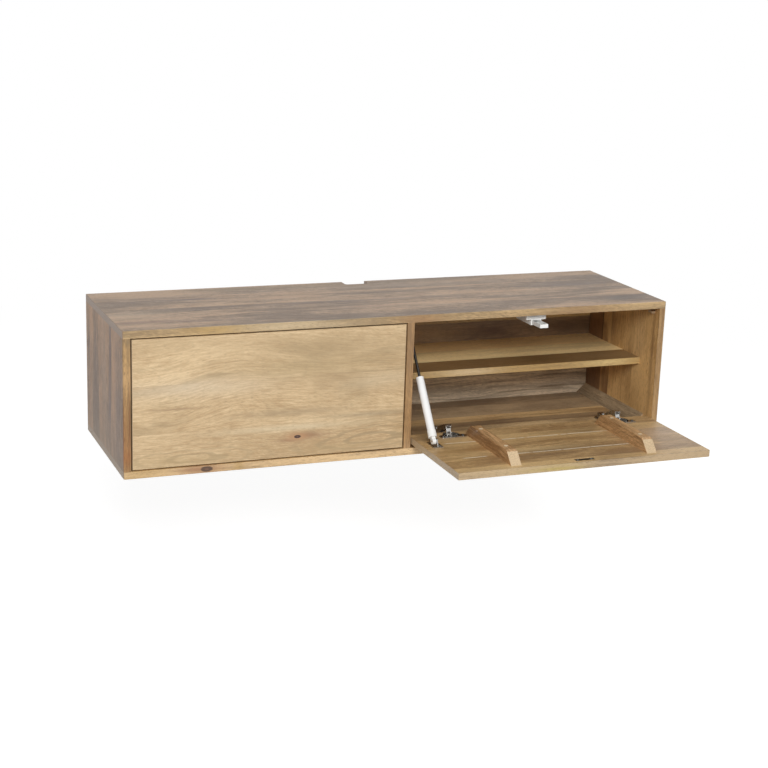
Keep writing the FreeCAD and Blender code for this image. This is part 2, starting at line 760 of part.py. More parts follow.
def make_door_screws(side):
    """Eight like screws in the door: four in the cups, two in the strut bracket, two in the strike."""
    screws = hardware_screws(f"{side}_door_screw", cup_places + bracket_places + strike_places)
    finish(on_door(group(f"{side}_door_screw_group", screws), side), f"{side}_door_screws")


# ---------------------------------------------------------------- doors

def on_door(obj, side):
    """Carries an object from the door's own frame, closed, to the door as it rests."""
    return place(obj, bay_centres[side], pivot_y, pivot_z, angle=rest_angles[side])


def in_bay(obj, side):
    """Carries an object from a bay's own frame to its place in the case."""
    return place(obj, bay_centres[side], pivot_y, pivot_z)


def make_door_panel(side):
    corners = (-door_half, door_low, door_half, door_high)
    body = panel(f"{side}_door_body", "XZ", -door_inner, corners, size.door_thickness)
    recess = new_sketch(body, "XZ", -door_inner)
    reach = size.strike_length / 2 + size.strike_margin
    rise = size.strike_width / 2 + size.strike_margin
    rectangle(recess, -reach, strike_up - rise, reach, strike_up + rise)
    pocket(body, recess, size.strike_recess, reverse=True)

    chamfered(body, size.edge_softening, lambda mid, along: near(mid.y, door_outer.value))
    places = cup_places + bracket_places + strike_places
    body = bored(f"{side}_door_bored", body, places, pilot, size.screw_length, size.screw_sides)
    places = batten_places["a"] + batten_places["b"]
    body = bored(f"{side}_door_battened", body, places, batten_pilot, batten_reach, size.screw_sides)
    cups = [((x, door_inner, cup_up), "-y") for x in hinge_xs]
    body = bored(f"{side}_door_cupped", body, cups, size.cup_diameter + size.pilot_clearance,
                 size.cup_depth + size.pilot_clearance, size.cup_sides)
    finish(on_door(body, side), f"{side}_door_panel")


def make_batten(side, name):
    """Stiffening batten across the door's grain, sloped at both ends."""
    body = new_body(f"{side}_batten_{name}_body")
    sketch = new_sketch(body, "YZ", batten_xs[name])
    flat_low = batten_low + size.batten_bevel
    flat_high = batten_high - size.batten_bevel
    outline(sketch, ((door_inner, batten_low), (batten_face, flat_low), (batten_face, flat_high),
                     (door_inner, batten_high)))
    pad(body, sketch, size.batten_width, both_ways=True)
    chamfered(body, size.batten_nose, lambda mid, along: near(abs(along.x), 1)
              and near(mid.y, batten_face.value))
    rounded(body, size.batten_softening, lambda mid, along: near(abs(along.z), 1)
            and near(mid.y, batten_face.value))
    plug_holes = [((batten_xs[name], batten_face, up), "-y") for up in batten_screw_ups]
    depth = size.plug_depth + size.batten_head_height
    node = f"{side}_batten_{name}"
    body = bored(f"{node}_plugged", body, plug_holes, size.plug_diameter, depth, size.plug_sides)
    shanks = batten_places[name]
    body = bored(f"{node}_bored", body, shanks, batten_pilot, batten_reach, size.screw_sides)
    finish(on_door(body, side), node)


def make_batten_fasteners(side):
    places = batten_places["a"] + batten_places["b"]
    screws = screws_at(f"{side}_batten_screw", places, size.batten_screw_diameter, batten_reach,
                       size.batten_screw_head, size.batten_head_height)
    plugs = []
    for number, ((x, _, up), _) in enumerate(places):
        start = (x, batten_face - size.plug_depth, up)
        plugs.append(prism(f"{side}_plug_{number}", size.plug_diameter, size.plug_depth, start, "y",
                           size.plug_sides))
    finish(on_door(group(f"{side}_batten_screw_group", screws), side), f"{side}_batten_screws")
    finish(on_door(group(f"{side}_batten_plug_group", plugs), side), f"{side}_batten_plugs")


def make_strike_plate(side):
    body = new_body(f"{side}_strike_body")
    sketch = new_sketch(body, "XZ", -strike_floor)
    reach = size.strike_length / 2
    rise = size.strike_width / 2
    rectangle(sketch, -reach, strike_up - rise, reach, strike_up + rise)
    pad(body, sketch, size.strike_thickness, reverse=True)
    plate = bored(f"{side}_strike_bored", body, strike_places, pilot, size.screw_length, size.screw_sides)
    finish(on_door(plate, side), f"{side}_strike_plate")


# ---------------------------------------------------------------- cup hinges

def make_hinge_cups(side):
    """Pressed cup with a two-winged flange, let into the door."""
    cups = []
    for number, x in enumerate(hinge_xs):
        body = new_body(f"{side}_wings_{number}")
        wings = new_sketch(body, "XZ", -door_inner)
        half_length = size.flange_length / 2
        half_width_up = size.flange_width / 2
        rectangle(wings, x - half_length, wing_up - half_width_up, x + half_length, wing_up + half_width_up)
        pad(body, wings, size.flange_thickness, reverse=True)
        rounded(body, size.flange_corner, lambda mid, along: near(abs(along.y), 1))
        name = f"{side}_cup_{number}"
        seat = (x, door_inner, cup_up)
        ring = prism(f"{name}_ring", size.cup_diameter + size.flange_ring * 2, size.flange_thickness, seat,
                     "y", size.cup_sides)
        bowl = prism(f"{name}_bowl", size.cup_diameter, size.cup_depth, seat, "-y", size.cup_sides)
        depth = size.flange_thickness + size.cup_depth - size.cup_wall
        hollow = prism(f"{name}_hollow", size.cup_diameter - size.cup_wall * 2, depth,
                       (x, flange_face, cup_up), "-y", size.cup_sides)
        half_notch = size.outer_link_width / 2 + size.cup_notch_clearance
        notch = box(f"{name}_notch", (x - half_notch, flange_face - size.cup_notch_depth, door_low),
                    (x + half_notch, flange_face, cup_up))
        pressed = cut(f"{name}_pressed", fused(f"{name}_solid", [body, ring, bowl]),
                      group(f"{name}_inside", [hollow, notch]))
        places = cup_places[number * 2:number * 2 + 2]
        cups.append(bored(f"{name}_bored", pressed, places, pilot, size.screw_length, size.screw_sides))
    finish(on_door(group(f"{side}_cup_group", cups), side), f"{side}_hinge_cups")


def make_hinge_plates(side):
    """Mounting plates on the case bottom, each with a raised rib that the arm clips over."""
    plates = []
    for number, x in enumerate(hinge_xs):
        body = new_body(f"{side}_plate_{number}")
        base = new_sketch(body, "XY", floor_up)
        half = size.plate_width / 2
        rectangle(base, x - half, size.plate_front, x + half, plate_back)
        pad(body, base, size.plate_thickness)
        rib_half = size.arm_width / 2 - size.arm_wall - size.rib_clearance
        rib = new_sketch(body, "XY", plate_top)
        rectangle(rib, x - rib_half, size.rib_front, x + rib_half, size.rib_front + size.rib_length)
        pad(body, rib, rib_top - plate_top)
        name = f"{side}_plate_{number}"
        places = plate_places[number * 2:number * 2 + 2]
        plate = bored(f"{name}_bored", body, places, pilot, size.screw_length, size.screw_sides)
        plates.append(bored(f"{name}_tapped", plate, arm_places[number:number + 1], arm_pilot,
                            size.arm_screw_length, size.screw_sides))
    finish(in_bay(group(f"{side}_plate_group", plates), side), f"{side}_hinge_plates")


def arm_profile():
    """Side view of the hinge arm, from its back end up over the nose and back along the underside."""
    return (
        (size.arm_back, plate_top),
        (size.arm_back, arm_top),
        (size.arm_bend, arm_top),
        (size.arm_knee_back, size.arm_knee_up),
        (size.nose_back, size.nose_top),
        (size.nose_front, size.nose_top),
        (size.nose_front, size.nose_low),
        (size.chin_front, size.chin_low),
        (size.chin_back, size.chin_low),
        (size.heel_back, -size.heel_drop),
        (size.foot_front, plate_top),
    )


def make_hinge_arms(side):
    """Cranked arms of pressed steel, open below, with the two link pins through the nose."""
    arms = []
    pins = ((size.outer_pin_back, size.outer_pin_up), (size.inner_pin_back, size.inner_pin_up))
    for number, x in enumerate(hinge_xs):
        body = new_body(f"{side}_arm_{number}")
        sketch = new_sketch(body, "YZ", x)
        outline(sketch, arm_profile())
        pad(body, sketch, size.arm_width, both_ways=True)
        inside = new_sketch(body, "YZ", x)
        wall = size.arm_wall
        below = plate_top - size.plate_thickness
        outline(inside, (
            (size.arm_back + wall, below),
            (size.arm_back + wall, rib_top),
            (size.arm_bend - wall / 2, rib_top),
            (size.arm_knee_back - wall / 2, size.arm_knee_up - wall),
            (size.nose_back - wall / 2, size.nose_top - wall),
            (size.nose_front - wall, size.nose_top - wall),
            (size.nose_front - wall, below),
        ))
        pocket(body, inside, size.arm_width - wall * 2, both_ways=True)
        solids = [body]
        for pin, (back, up) in enumerate(pins):
            start = (x - size.arm_width / 2, back, up)
            solids.append(prism(f"{side}_arm_{number}_pin_{pin}", size.pin_diameter, size.arm_width, start,
                                "x", size.pin_sides))
        pinned = fused(f"{side}_arm_{number}_pinned", solids)
        arms.append(bored(f"{side}_arm_{number}_bored", pinned, arm_places[number:number + 1], arm_pilot,
                          size.arm_screw_length, size.screw_sides))
    finish(in_bay(group(f"{side}_arm_group", arms), side), f"{side}_hinge_arms")


def make_arm_screws(side):
    screws = screws_at(f"{side}_arm_screw", arm_places, size.arm_screw_diameter, size.arm_screw_length,
                       size.arm_screw_head, size.screw_head_height)
    finish(in_bay(group(f"{side}_arm_screw_group", screws), side), f"{side}_hinge_arm_screws")


def link_end(pin, radius, same_side):
    """Cup end of a link on the closed door.

    The pin, the door axis and the cup end are in line halfway through the swing, so the link is as long
    with the door open as with it closed.
    """
    direction = angle_of(*pin) - size.door_swing / 2
    if not same_side:
        direction = direction + HALF_TURN
    return (radius * cosine(direction), radius * sine(direction))


def link_pose(side, pin, cup_end):
    """Angle and length of a link as the bay rests."""
    here = turned(cup_end, rest_angles[side])
    return angle_of(here[0] - pin[0], here[1] - pin[1]), length_of(cup_end[0] - pin[0], cup_end[1] - pin[1])


def make_outer_links(side):
    """Outer links: two side plates on the arm's outer pin, with a web below it and a barrel in the cup."""
    pin = (size.outer_pin_back, size.outer_pin_up)
    angle, length = link_pose(side, pin, link_end(pin, size.outer_cup_radius, same_side=False))
    half = size.outer_link_width / 2
    thick = size.link_thickness / 2
    slot = half - size.outer_link_plate
    hole = size.pin_diameter + size.pin_clearance * 2
    links = []
    for number, x in enumerate(hinge_xs):
        name = f"{side}_outer_{number}"
        low = (x - half, ZERO, ZERO)
        end = (x - half, length, ZERO)
        eye = prism(f"{name}_eye", size.link_eye, size.outer_link_width, low, "x", size.pin_sides)
        bar = box(f"{name}_bar", (x - half, ZERO, -thick), (x + half, length, thick))
        gap_low = (x - slot, -size.link_eye, -size.link_eye)
        gap_high = (x + slot, length, size.link_eye)
        gap = box(f"{name}_gap", gap_low, gap_high)
        forked = cut(f"{name}_fork", fused(f"{name}_flat", [eye, bar]), gap)
        web_low = (x - half, size.outer_web_start, -thick)
        web_high = (x + half, size.outer_web_start + size.outer_web_length, size.outer_web_thickness - thick)
        web = box(f"{name}_web", web_low, web_high)
        barrel = prism(f"{name}_barrel", size.outer_barrel, size.outer_link_width, end, "x", size.pin_sides)
        bore = prism(f"{name}_bore", hole, size.outer_link_width, low, "x", size.pin_sides)
        links.append(cut(name, fused(f"{name}_solid", [forked, web, barrel]), bore))
    obj = group(f"{side}_outer_group", links)
    place(obj, bay_centres[side], pivot_y + pin[0], pivot_z + pin[1], angle=angle)
    finish(obj, f"{side}_outer_links")


def make_inner_links(side):
    """Inner links: plain bars between the side plates of the outer links."""
    pin = (size.inner_pin_back, size.inner_pin_up)
    angle, length = link_pose(side, pin, link_end(pin, size.inner_cup_radius, same_side=True))
    half = size.inner_link_width / 2
    thick = size.link_thickness / 2
    hole = size.pin_diameter + size.pin_clearance * 2
    links = []
    for number, x in enumerate(hinge_xs):
        name = f"{side}_inner_{number}"
        low = (x - half, ZERO, ZERO)
        end = (x - half, length, ZERO)
        eye = prism(f"{name}_eye", size.link_eye, size.inner_link_width, low, "x", size.pin_sides)
        bar = box(f"{name}_bar", (x - half, ZERO, -thick), (x + half, length, thick))
        barrel = prism(f"{name}_barrel", size.inner_barrel, size.inner_link_width, end, "x", size.pin_sides)
        bore = prism(f"{name}_bore", hole, size.inner_link_width, low, "x", size.pin_sides)
        links.append(cut(name, fused(f"{name}_solid", [eye, bar, barrel]), bore))
    obj = group(f"{side}_inner_group", links)
    place(obj, bay_centres[side], pivot_y + pin[0], pivot_z + pin[1], angle=angle)
    finish(obj, f"{side}_inner_links")


# ---------------------------------------------------------------- damping strut

def along_strut(obj, side):
    """Carries an object from the strut's own frame, foot at the origin and head along +Y."""
    here, angle, _ = strut_pose(side)
    x = bay_centres[side] + strut_x
    return place(obj, x, pivot_y + here[0], pivot_z + here[1], angle=angle)


def make_strut_cylinder(side):
    tube = prism(f"{side}_tube", size.strut_tube_diameter, tube_length, (ZERO, size.strut_tube_start, ZERO),
                 "y", size.tube_sides)
    bore = prism(f"{side}_tube_bore", size.strut_rod_diameter + size.strut_bore_clearance * 2,
                 tube_length - size.strut_bore_floor, (ZERO, tube_end, ZERO), "-y", size.tube_sides)
    finish(along_strut(cut(f"{side}_tube_cut", tube, bore), side), f"{side}_strut_cylinder")


def make_strut_foot(side):
    """Moulded end of the cylinder: a collar, a flat neck and an eye on the door bracket's pin."""
    start = size.strut_tube_start - size.strut_collar_length
    seat = (ZERO, start, ZERO)
    collar = prism(f"{side}_collar", size.strut_collar_diameter, size.strut_collar_length, seat, "y",
                   size.tube_sides)
    half = size.strut_neck_width / 2
    neck = box(f"{side}_neck", (-eye_half, ZERO, -half), (eye_half, start, half))
    left = (-eye_half, ZERO, ZERO)
    eye = prism(f"{side}_eye", size.strut_eye_diameter, size.strut_eye_width, left, "x", size.eye_sides)
    hole = size.strut_pin_diameter + size.strut_pin_clearance * 2
    bore = prism(f"{side}_eye_bore", hole, size.strut_eye_width, left, "x", size.eye_sides)
    obj = cut(f"{side}_foot_cut", fused(f"{side}_foot_solid", [collar, neck, eye]), bore)
    finish(along_strut(obj, side), f"{side}_strut_foot")


def make_strut_rod(side):
    """Polished rod with a flattened eye at its head."""
    _, _, length = strut_pose(side)
    reach = open_length - tube_end + size.strut_rod_overlap
    shaft = prism(f"{side}_shaft", size.strut_rod_diameter, reach, (ZERO, length - reach, ZERO), "y",
                  size.tube_sides)
    left = (-eye_half, length, ZERO)
    eye = prism(f"{side}_head_eye", size.strut_head_eye, size.strut_eye_width, left, "x", size.eye_sides)
    hole = size.strut_pin_diameter + size.strut_pin_clearance * 2
    bore = prism(f"{side}_head_bore", hole, size.strut_eye_width, left, "x", size.eye_sides)
    obj = cut(f"{side}_rod_cut", fused(f"{side}_rod_solid", [shaft, eye]), bore)
    finish(along_strut(obj, side), f"{side}_strut_rod")


def make_strut_door_bracket(side):
    """Folded bracket on the door: a base with two screws, a pointed ear and the foot pin."""
    back, up = foot
    body = new_body(f"{side}_door_bracket_body")
    base = new_sketch(body, "XZ", -door_inner)
    rectangle(base, strut_x - size.bracket_left, up - size.bracket_lower,
              strut_x + size.bracket_right, up + size.bracket_upper)
    pad(body, base, size.bracket_thickness, reverse=True)
    ear = new_sketch(body, "YZ", ear_left)
    rim = size.bracket_ear_rim
    outline(ear, (
        (door_inner, up - size.bracket_lower),
        (back + rim, up - rim),
        (back + rim, up + rim),
        (door_inner, up + size.bracket_upper),
    ))
    pad(body, ear, size.bracket_thickness)
    length = size.strut_eye_width + size.bracket_ear_gap + size.bracket_thickness
    pin = prism(f"{side}_foot_pin", size.strut_pin_diameter, length, (strut_x - eye_half, back, up), "x",
                size.eye_sides)
    pinned = fused(f"{side}_door_bracket_pinned", [body, pin])
    bracket = bored(f"{side}_door_bracket_bored", pinned, bracket_places, pilot, size.screw_length,
                    size.screw_sides)
    finish(on_door(bracket, side), f"{side}_strut_door_bracket")


def make_strut_wall_bracket(side):
    """Plate on the bay's left wall, with a boss and the pin that holds the strut's head."""
    back, up = head
    body = new_body(f"{side}_wall_bracket_body")
    base = new_sketch(body, "YZ", bay_left)
    half = size.wall_plate_width / 2
    rise = size.wall_plate_height / 2
    rectangle(base, back - half, up - rise, back + half, up + rise)
    pad(body, base, size.bracket_thickness)
    chamfered(body, size.wall_plate_corner, lambda mid, along: near(abs(along.x), 1))
    seat = (bay_left, back, up)
    reach = strut_x - eye_half - size.strut_open_gap - bay_left
    boss = prism(f"{side}_wall_boss", size.wall_boss_diameter, size.wall_boss_length, seat, "x",
                 size.eye_sides)
    pin = prism(f"{side}_head_pin", size.strut_pin_diameter, reach, seat, "x", size.eye_sides)
    pinned = fused(f"{side}_wall_bracket_pinned", [body, boss, pin])
    bracket = bored(f"{side}_wall_bracket_bored", pinned, wall_places, pilot, size.screw_length,
                    size.screw_sides)
    finish(in_bay(bracket, side), f"{side}_strut_wall_bracket")


# ---------------------------------------------------------------- push latch

def make_latch_housing(side):
    """Housing under the top, with a screw ear each side and a channel for the plunger."""
    body = new_body(f"{side}_latch_body")
    block = new_sketch(body, "XY", latch_low)
    rectangle(block, -latch_half, latch_front, latch_half, latch_back)
    pad(body, block, size.latch_height)
    ears = new_sketch(body, "XY", under_top_up)
    span = size.latch_ear_span / 2
    rectangle(ears, -span, latch_front, span, latch_front + size.latch_ear_length)
    pad(body, ears, size.latch_ear_height, reverse=True)
    channel = new_sketch(body, "XZ", -latch_front)
    low = plunger_low - size.plunger_clearance
    high = plunger_low + size.plunger_height + size.plunger_clearance
    rectangle(channel, -channel_half, low, channel_half, high)
    pocket(body, channel, channel_back - latch_front)
    well_mouth = under_top_up - size.latch_ear_height
    wells = [((x, back, well_mouth), direction) for (x, back, _), direction in latch_places]
    depth = size.latch_ear_height - size.latch_ear_floor
    housing = bored(f"{side}_latch_welled", body, wells, size.latch_screw_well, depth, size.head_sides)
    housing = bored(f"{side}_latch_bored", housing, latch_places, pilot, size.screw_length,
                    size.screw_sides)
    finish(in_bay(housing, side), f"{side}_latch_housing")


def plunger_shift(side):
    """Distance that the resting plunger stands out of its closed place."""
    return size.plunger_stroke if side == "right" else ZERO


def make_latch_plunger(side):
    """Open-topped sliding tray with a thick front plate."""
    body = new_body(f"{side}_plunger_body")
    sketch = new_sketch(body, "XY", plunger_low)
    half = size.plunger_width / 2
    rectangle(sketch, -half, plunger_front, half, plunger_front + size.plunger_length)
    pad(body, sketch, size.plunger_height)
    tray = new_sketch(body, "XY", plunger_low + size.plunger_height)
    inside = half - size.plunger_wall
    rear = plunger_front + size.plunger_length - size.plunger_wall
    rectangle(tray, -inside, plunger_front + size.plunger_nose, inside, rear)
    pocket(body, tray, size.plunger_height - size.plunger_wall)
    place(body, bay_centres[side], pivot_y - plunger_shift(side), pivot_z)
    finish(body, f"{side}_latch_plunger")


def make_latch_magnet(side):
    half = size.plunger_width / 2 - size.plunger_wall - size.magnet_clearance
    front_face = plunger_front + size.plunger_nose
    low = (-half, front_face, plunger_low + size.plunger_wall)
    high = (half, front_face + size.magnet_length, plunger_low + size.plunger_height - size.plunger_wall)
    obj = group(f"{side}_magnet_group", [box(f"{side}_magnet_block", low, high)])
    place(obj, bay_centres[side], pivot_y - plunger_shift(side), pivot_z)
    finish(obj, f"{side}_latch_magnet")


# ---------------------------------------------------------------- build

make_top_panel()
make_bottom_panel()
make_side_panels()
make_divider()
make_back_panel()
make_hanging_rails()
for side in ("left", "right"):
    make_shelf(side)
    make_corner_strip(side)
    make_door_stops(side)
    make_case_screws(side)
    make_door_panel(side)
    for batten in batten_xs:
        make_batten(side, batten)
    make_batten_fasteners(side)
    make_door_screws(side)
    make_strike_plate(side)
    make_hinge_cups(side)
    make_hinge_plates(side)
    make_hinge_arms(side)
    make_arm_screws(side)
    make_outer_links(side)
    make_inner_links(side)
    make_strut_cylinder(side)
    make_strut_foot(side)
    make_strut_rod(side)
    make_strut_door_bracket(side)
    make_strut_wall_bracket(side)
    make_latch_housing(side)
    make_latch_plunger(side)
    make_latch_magnet(side)
doc.recompute()

for obj in doc.Objects:
    if "Invalid" in obj.State or "Error" in obj.State:
        raise RuntimeError(f"{obj.Name} did not recompute: {obj.State}")
for obj in subparts:
    if obj.Shape.isNull() or not obj.Shape.isValid():
        raise RuntimeError(f"{obj.Label} has no valid shape")

os.makedirs("parts", exist_ok=True)
for obj in subparts:
    obj.Shape.exportStep(os.path.join("parts", f"{obj.Label}.step"))
    print(obj.Label, len(obj.Shape.Solids), round(obj.Shape.Volume))
print(len(subparts), "sub-parts")
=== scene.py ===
import json
import math

import bmesh
import bpy
from mathutils import Matrix, Vector

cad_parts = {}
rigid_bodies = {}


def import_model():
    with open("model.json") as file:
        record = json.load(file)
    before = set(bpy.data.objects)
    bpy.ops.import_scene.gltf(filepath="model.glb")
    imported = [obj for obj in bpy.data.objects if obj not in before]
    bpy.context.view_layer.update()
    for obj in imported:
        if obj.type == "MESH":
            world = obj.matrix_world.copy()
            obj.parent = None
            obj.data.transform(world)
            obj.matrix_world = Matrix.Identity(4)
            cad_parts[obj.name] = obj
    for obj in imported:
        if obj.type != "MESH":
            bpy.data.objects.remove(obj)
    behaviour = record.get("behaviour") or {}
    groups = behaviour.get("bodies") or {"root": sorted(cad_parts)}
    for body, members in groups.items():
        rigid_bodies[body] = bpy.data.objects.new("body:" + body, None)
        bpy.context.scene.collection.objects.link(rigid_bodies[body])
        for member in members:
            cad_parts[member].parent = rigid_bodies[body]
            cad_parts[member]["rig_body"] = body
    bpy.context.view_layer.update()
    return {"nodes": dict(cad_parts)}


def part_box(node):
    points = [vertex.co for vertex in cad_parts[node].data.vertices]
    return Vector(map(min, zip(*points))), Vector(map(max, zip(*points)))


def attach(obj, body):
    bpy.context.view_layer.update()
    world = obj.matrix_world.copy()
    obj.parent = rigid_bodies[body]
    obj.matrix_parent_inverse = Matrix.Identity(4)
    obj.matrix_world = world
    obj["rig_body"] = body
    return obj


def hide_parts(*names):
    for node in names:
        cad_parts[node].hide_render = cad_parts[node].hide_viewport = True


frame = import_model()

# The looks of a wall-hung console of solid timber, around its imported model. Metres throughout.
# x runs along the console, y into the wall and z up; its back is at y = 0.

X, Y, Z = 0, 1, 2
WHITE = (1.0, 1.0, 1.0)

# The colour sockets of a Mix node, which share their names with its other sockets
COLOUR_A, COLOUR_B, COLOUR_OUT = 6, 7, 2


# ---------------------------------------------------------------- material nodes
class Graph:
    """The nodes of one material. Each method adds a node and returns its output."""

    def __init__(self, name):
        self.material = bpy.data.materials.new(name)
        self.material.use_nodes = True
        self.tree = self.material.node_tree
        self.tree.nodes.clear()

    def feed(self, socket, value):
        if isinstance(value, bpy.types.NodeSocket):
            self.tree.links.new(value, socket)
        elif socket.type == "RGBA":
            socket.default_value = (*value, 1)
        else:
            socket.default_value = value

    def add(self, kind, inputs=None, out=0, **settings):
        node = self.tree.nodes.new(kind)
        for key, value in settings.items():
            setattr(node, key, value)
        for key, value in (inputs or {}).items():
            self.feed(node.inputs[key], value)
        return node.outputs[out]

    def math(self, operation, *values, clamp=False):
        return self.add("ShaderNodeMath", dict(enumerate(values)), operation=operation, use_clamp=clamp)

    def plus(self, first, second):
        return self.math("ADD", first, second)

    def minus(self, first, second):
        return self.math("SUBTRACT", first, second)

    def times(self, first, *others):
        for value in others:
            first = self.math("MULTIPLY", first, value)
        return first

    def vector(self, operation, *values):
        return self.add("ShaderNodeVectorMath", dict(enumerate(values)), operation=operation)

    def length(self, vector):
        return self.add("ShaderNodeVectorMath", {0: vector}, out=1, operation="LENGTH")

    def place(self):
        """A point's own coordinates on its object, in metres."""
        return self.add("ShaderNodeTexCoord", out="Object")

    def split(self, vector):
        node = self.add("ShaderNodeSeparateXYZ", {0: vector}).node
        return list(node.outputs)

    def join(self, x, y, z):
        return self.add("ShaderNodeCombineXYZ", {0: x, 1: y, 2: z})

    def noise(self, vector, detail, roughness=0.5):
        inputs = {"Vector": vector, "Scale": 1.0, "Detail": detail, "Roughness": roughness}
        return self.add("ShaderNodeTexNoise", inputs)

    def even_noise(self, rate, detail):
        """Noise that is as fine in every direction."""
        return self.noise(self.vector("MULTIPLY", self.place(), (rate, rate, rate)), detail)

    def random(self, value):
        """Three random numbers for a whole number."""
        return self.split(self.add("ShaderNodeTexWhiteNoise", {"W": value}, out=1, noise_dimensions="1D"))

    def ramp(self, value, low, high, to_low=0.0, to_high=1.0, smooth=True):
        kind = "SMOOTHSTEP" if smooth else "LINEAR"
        inputs = {0: value, 1: low, 2: high, 3: to_low, 4: to_high}
        return self.add("ShaderNodeMapRange", inputs, interpolation_type=kind)

    def band(self, value, low, high, soft):
        """1 between low and high, with an edge as wide as soft."""
        rise = self.ramp(value, low - soft, low + soft)
        return self.times(rise, self.ramp(value, high + soft, high - soft))

    def mix(self, share, first, second):
        inputs = {0: share, COLOUR_A: first, COLOUR_B: second}
        return self.add("ShaderNodeMix", inputs, out=COLOUR_OUT, data_type="RGBA")

    def bump(self, height, distance, strength):
        return self.add("ShaderNodeBump", {"Strength": strength, "Distance": distance, "Height": height})

    def surface(self, **inputs):
        """A Principled surface; a name's underscores stand for the socket's spaces."""
        sockets = {key.replace("_", " "): value for key, value in inputs.items()}
        shader = self.add("ShaderNodeBsdfPrincipled", sockets)
        self.finish(shader)

    def finish(self, shader):
        output = self.tree.nodes.new("ShaderNodeOutputMaterial")
        self.tree.links.new(shader, output.inputs["Surface"])


# ---------------------------------------------------------------- timber
HONEY = {"pale": (0.72, 0.54, 0.32), "deep": (0.43, 0.285, 0.145), "streak": (0.31, 0.225, 0.12)}
GREY = {"pale": (0.56, 0.355, 0.20), "deep": (0.165, 0.095, 0.045), "streak": (0.10, 0.062, 0.034)}
DUSK = {"pale": (0.60, 0.33, 0.155), "deep": (0.155, 0.080, 0.036), "streak": (0.085, 0.045, 0.028)}
TAN = {"pale": (0.76, 0.52, 0.245), "deep": (0.34, 0.20, 0.088), "streak": (0.19, 0.115, 0.06)}
AMBER = {"pale": (0.60, 0.36, 0.15), "deep": (0.36, 0.19, 0.07), "streak": (0.20, 0.11, 0.05)}
RUST = {"pale": (0.80, 0.51, 0.215), "deep": (0.42, 0.225, 0.08), "streak": (0.20, 0.095, 0.04)}
COCOA = {"pale": (0.76, 0.47, 0.225), "deep": (0.31, 0.165, 0.068), "streak": (0.15, 0.075, 0.035)}
UMBER = {"pale": (0.45, 0.30, 0.165), "deep": (0.24, 0.15, 0.078), "streak": (0.13, 0.08, 0.045)}
RAW = {"pale": (0.62, 0.44, 0.26), "deep": (0.36, 0.235, 0.125), "streak": (0.18, 0.11, 0.06)}
PLUG = {"pale": (0.96, 0.84, 0.62), "deep": (0.86, 0.70, 0.48), "streak": (0.62, 0.46, 0.30)}

KNOT_RING = (0.045, 0.02, 0.012)
KNOT_HEART = (0.13, 0.06, 0.035)
KNOT_HALO = (0.46, 0.25, 0.12)
GLUE_DARK = (0.16, 0.09, 0.045)
FILLER = (0.95, 0.88, 0.70)
SAWN = (0.50, 0.36, 0.22)

CONTRAST = 1.4
SATIN = 0.40  # roughness, before the grain varies it
LINE_SHARE = 0.7
PORE_SHARE = 0.5
STAVE_OFFSET = 37.0  # how far apart the noise of two staves may lie
FILLER_HALF_WIDTH = 0.0014


def darker(colour, share):
    return tuple(channel * share for channel in colour)


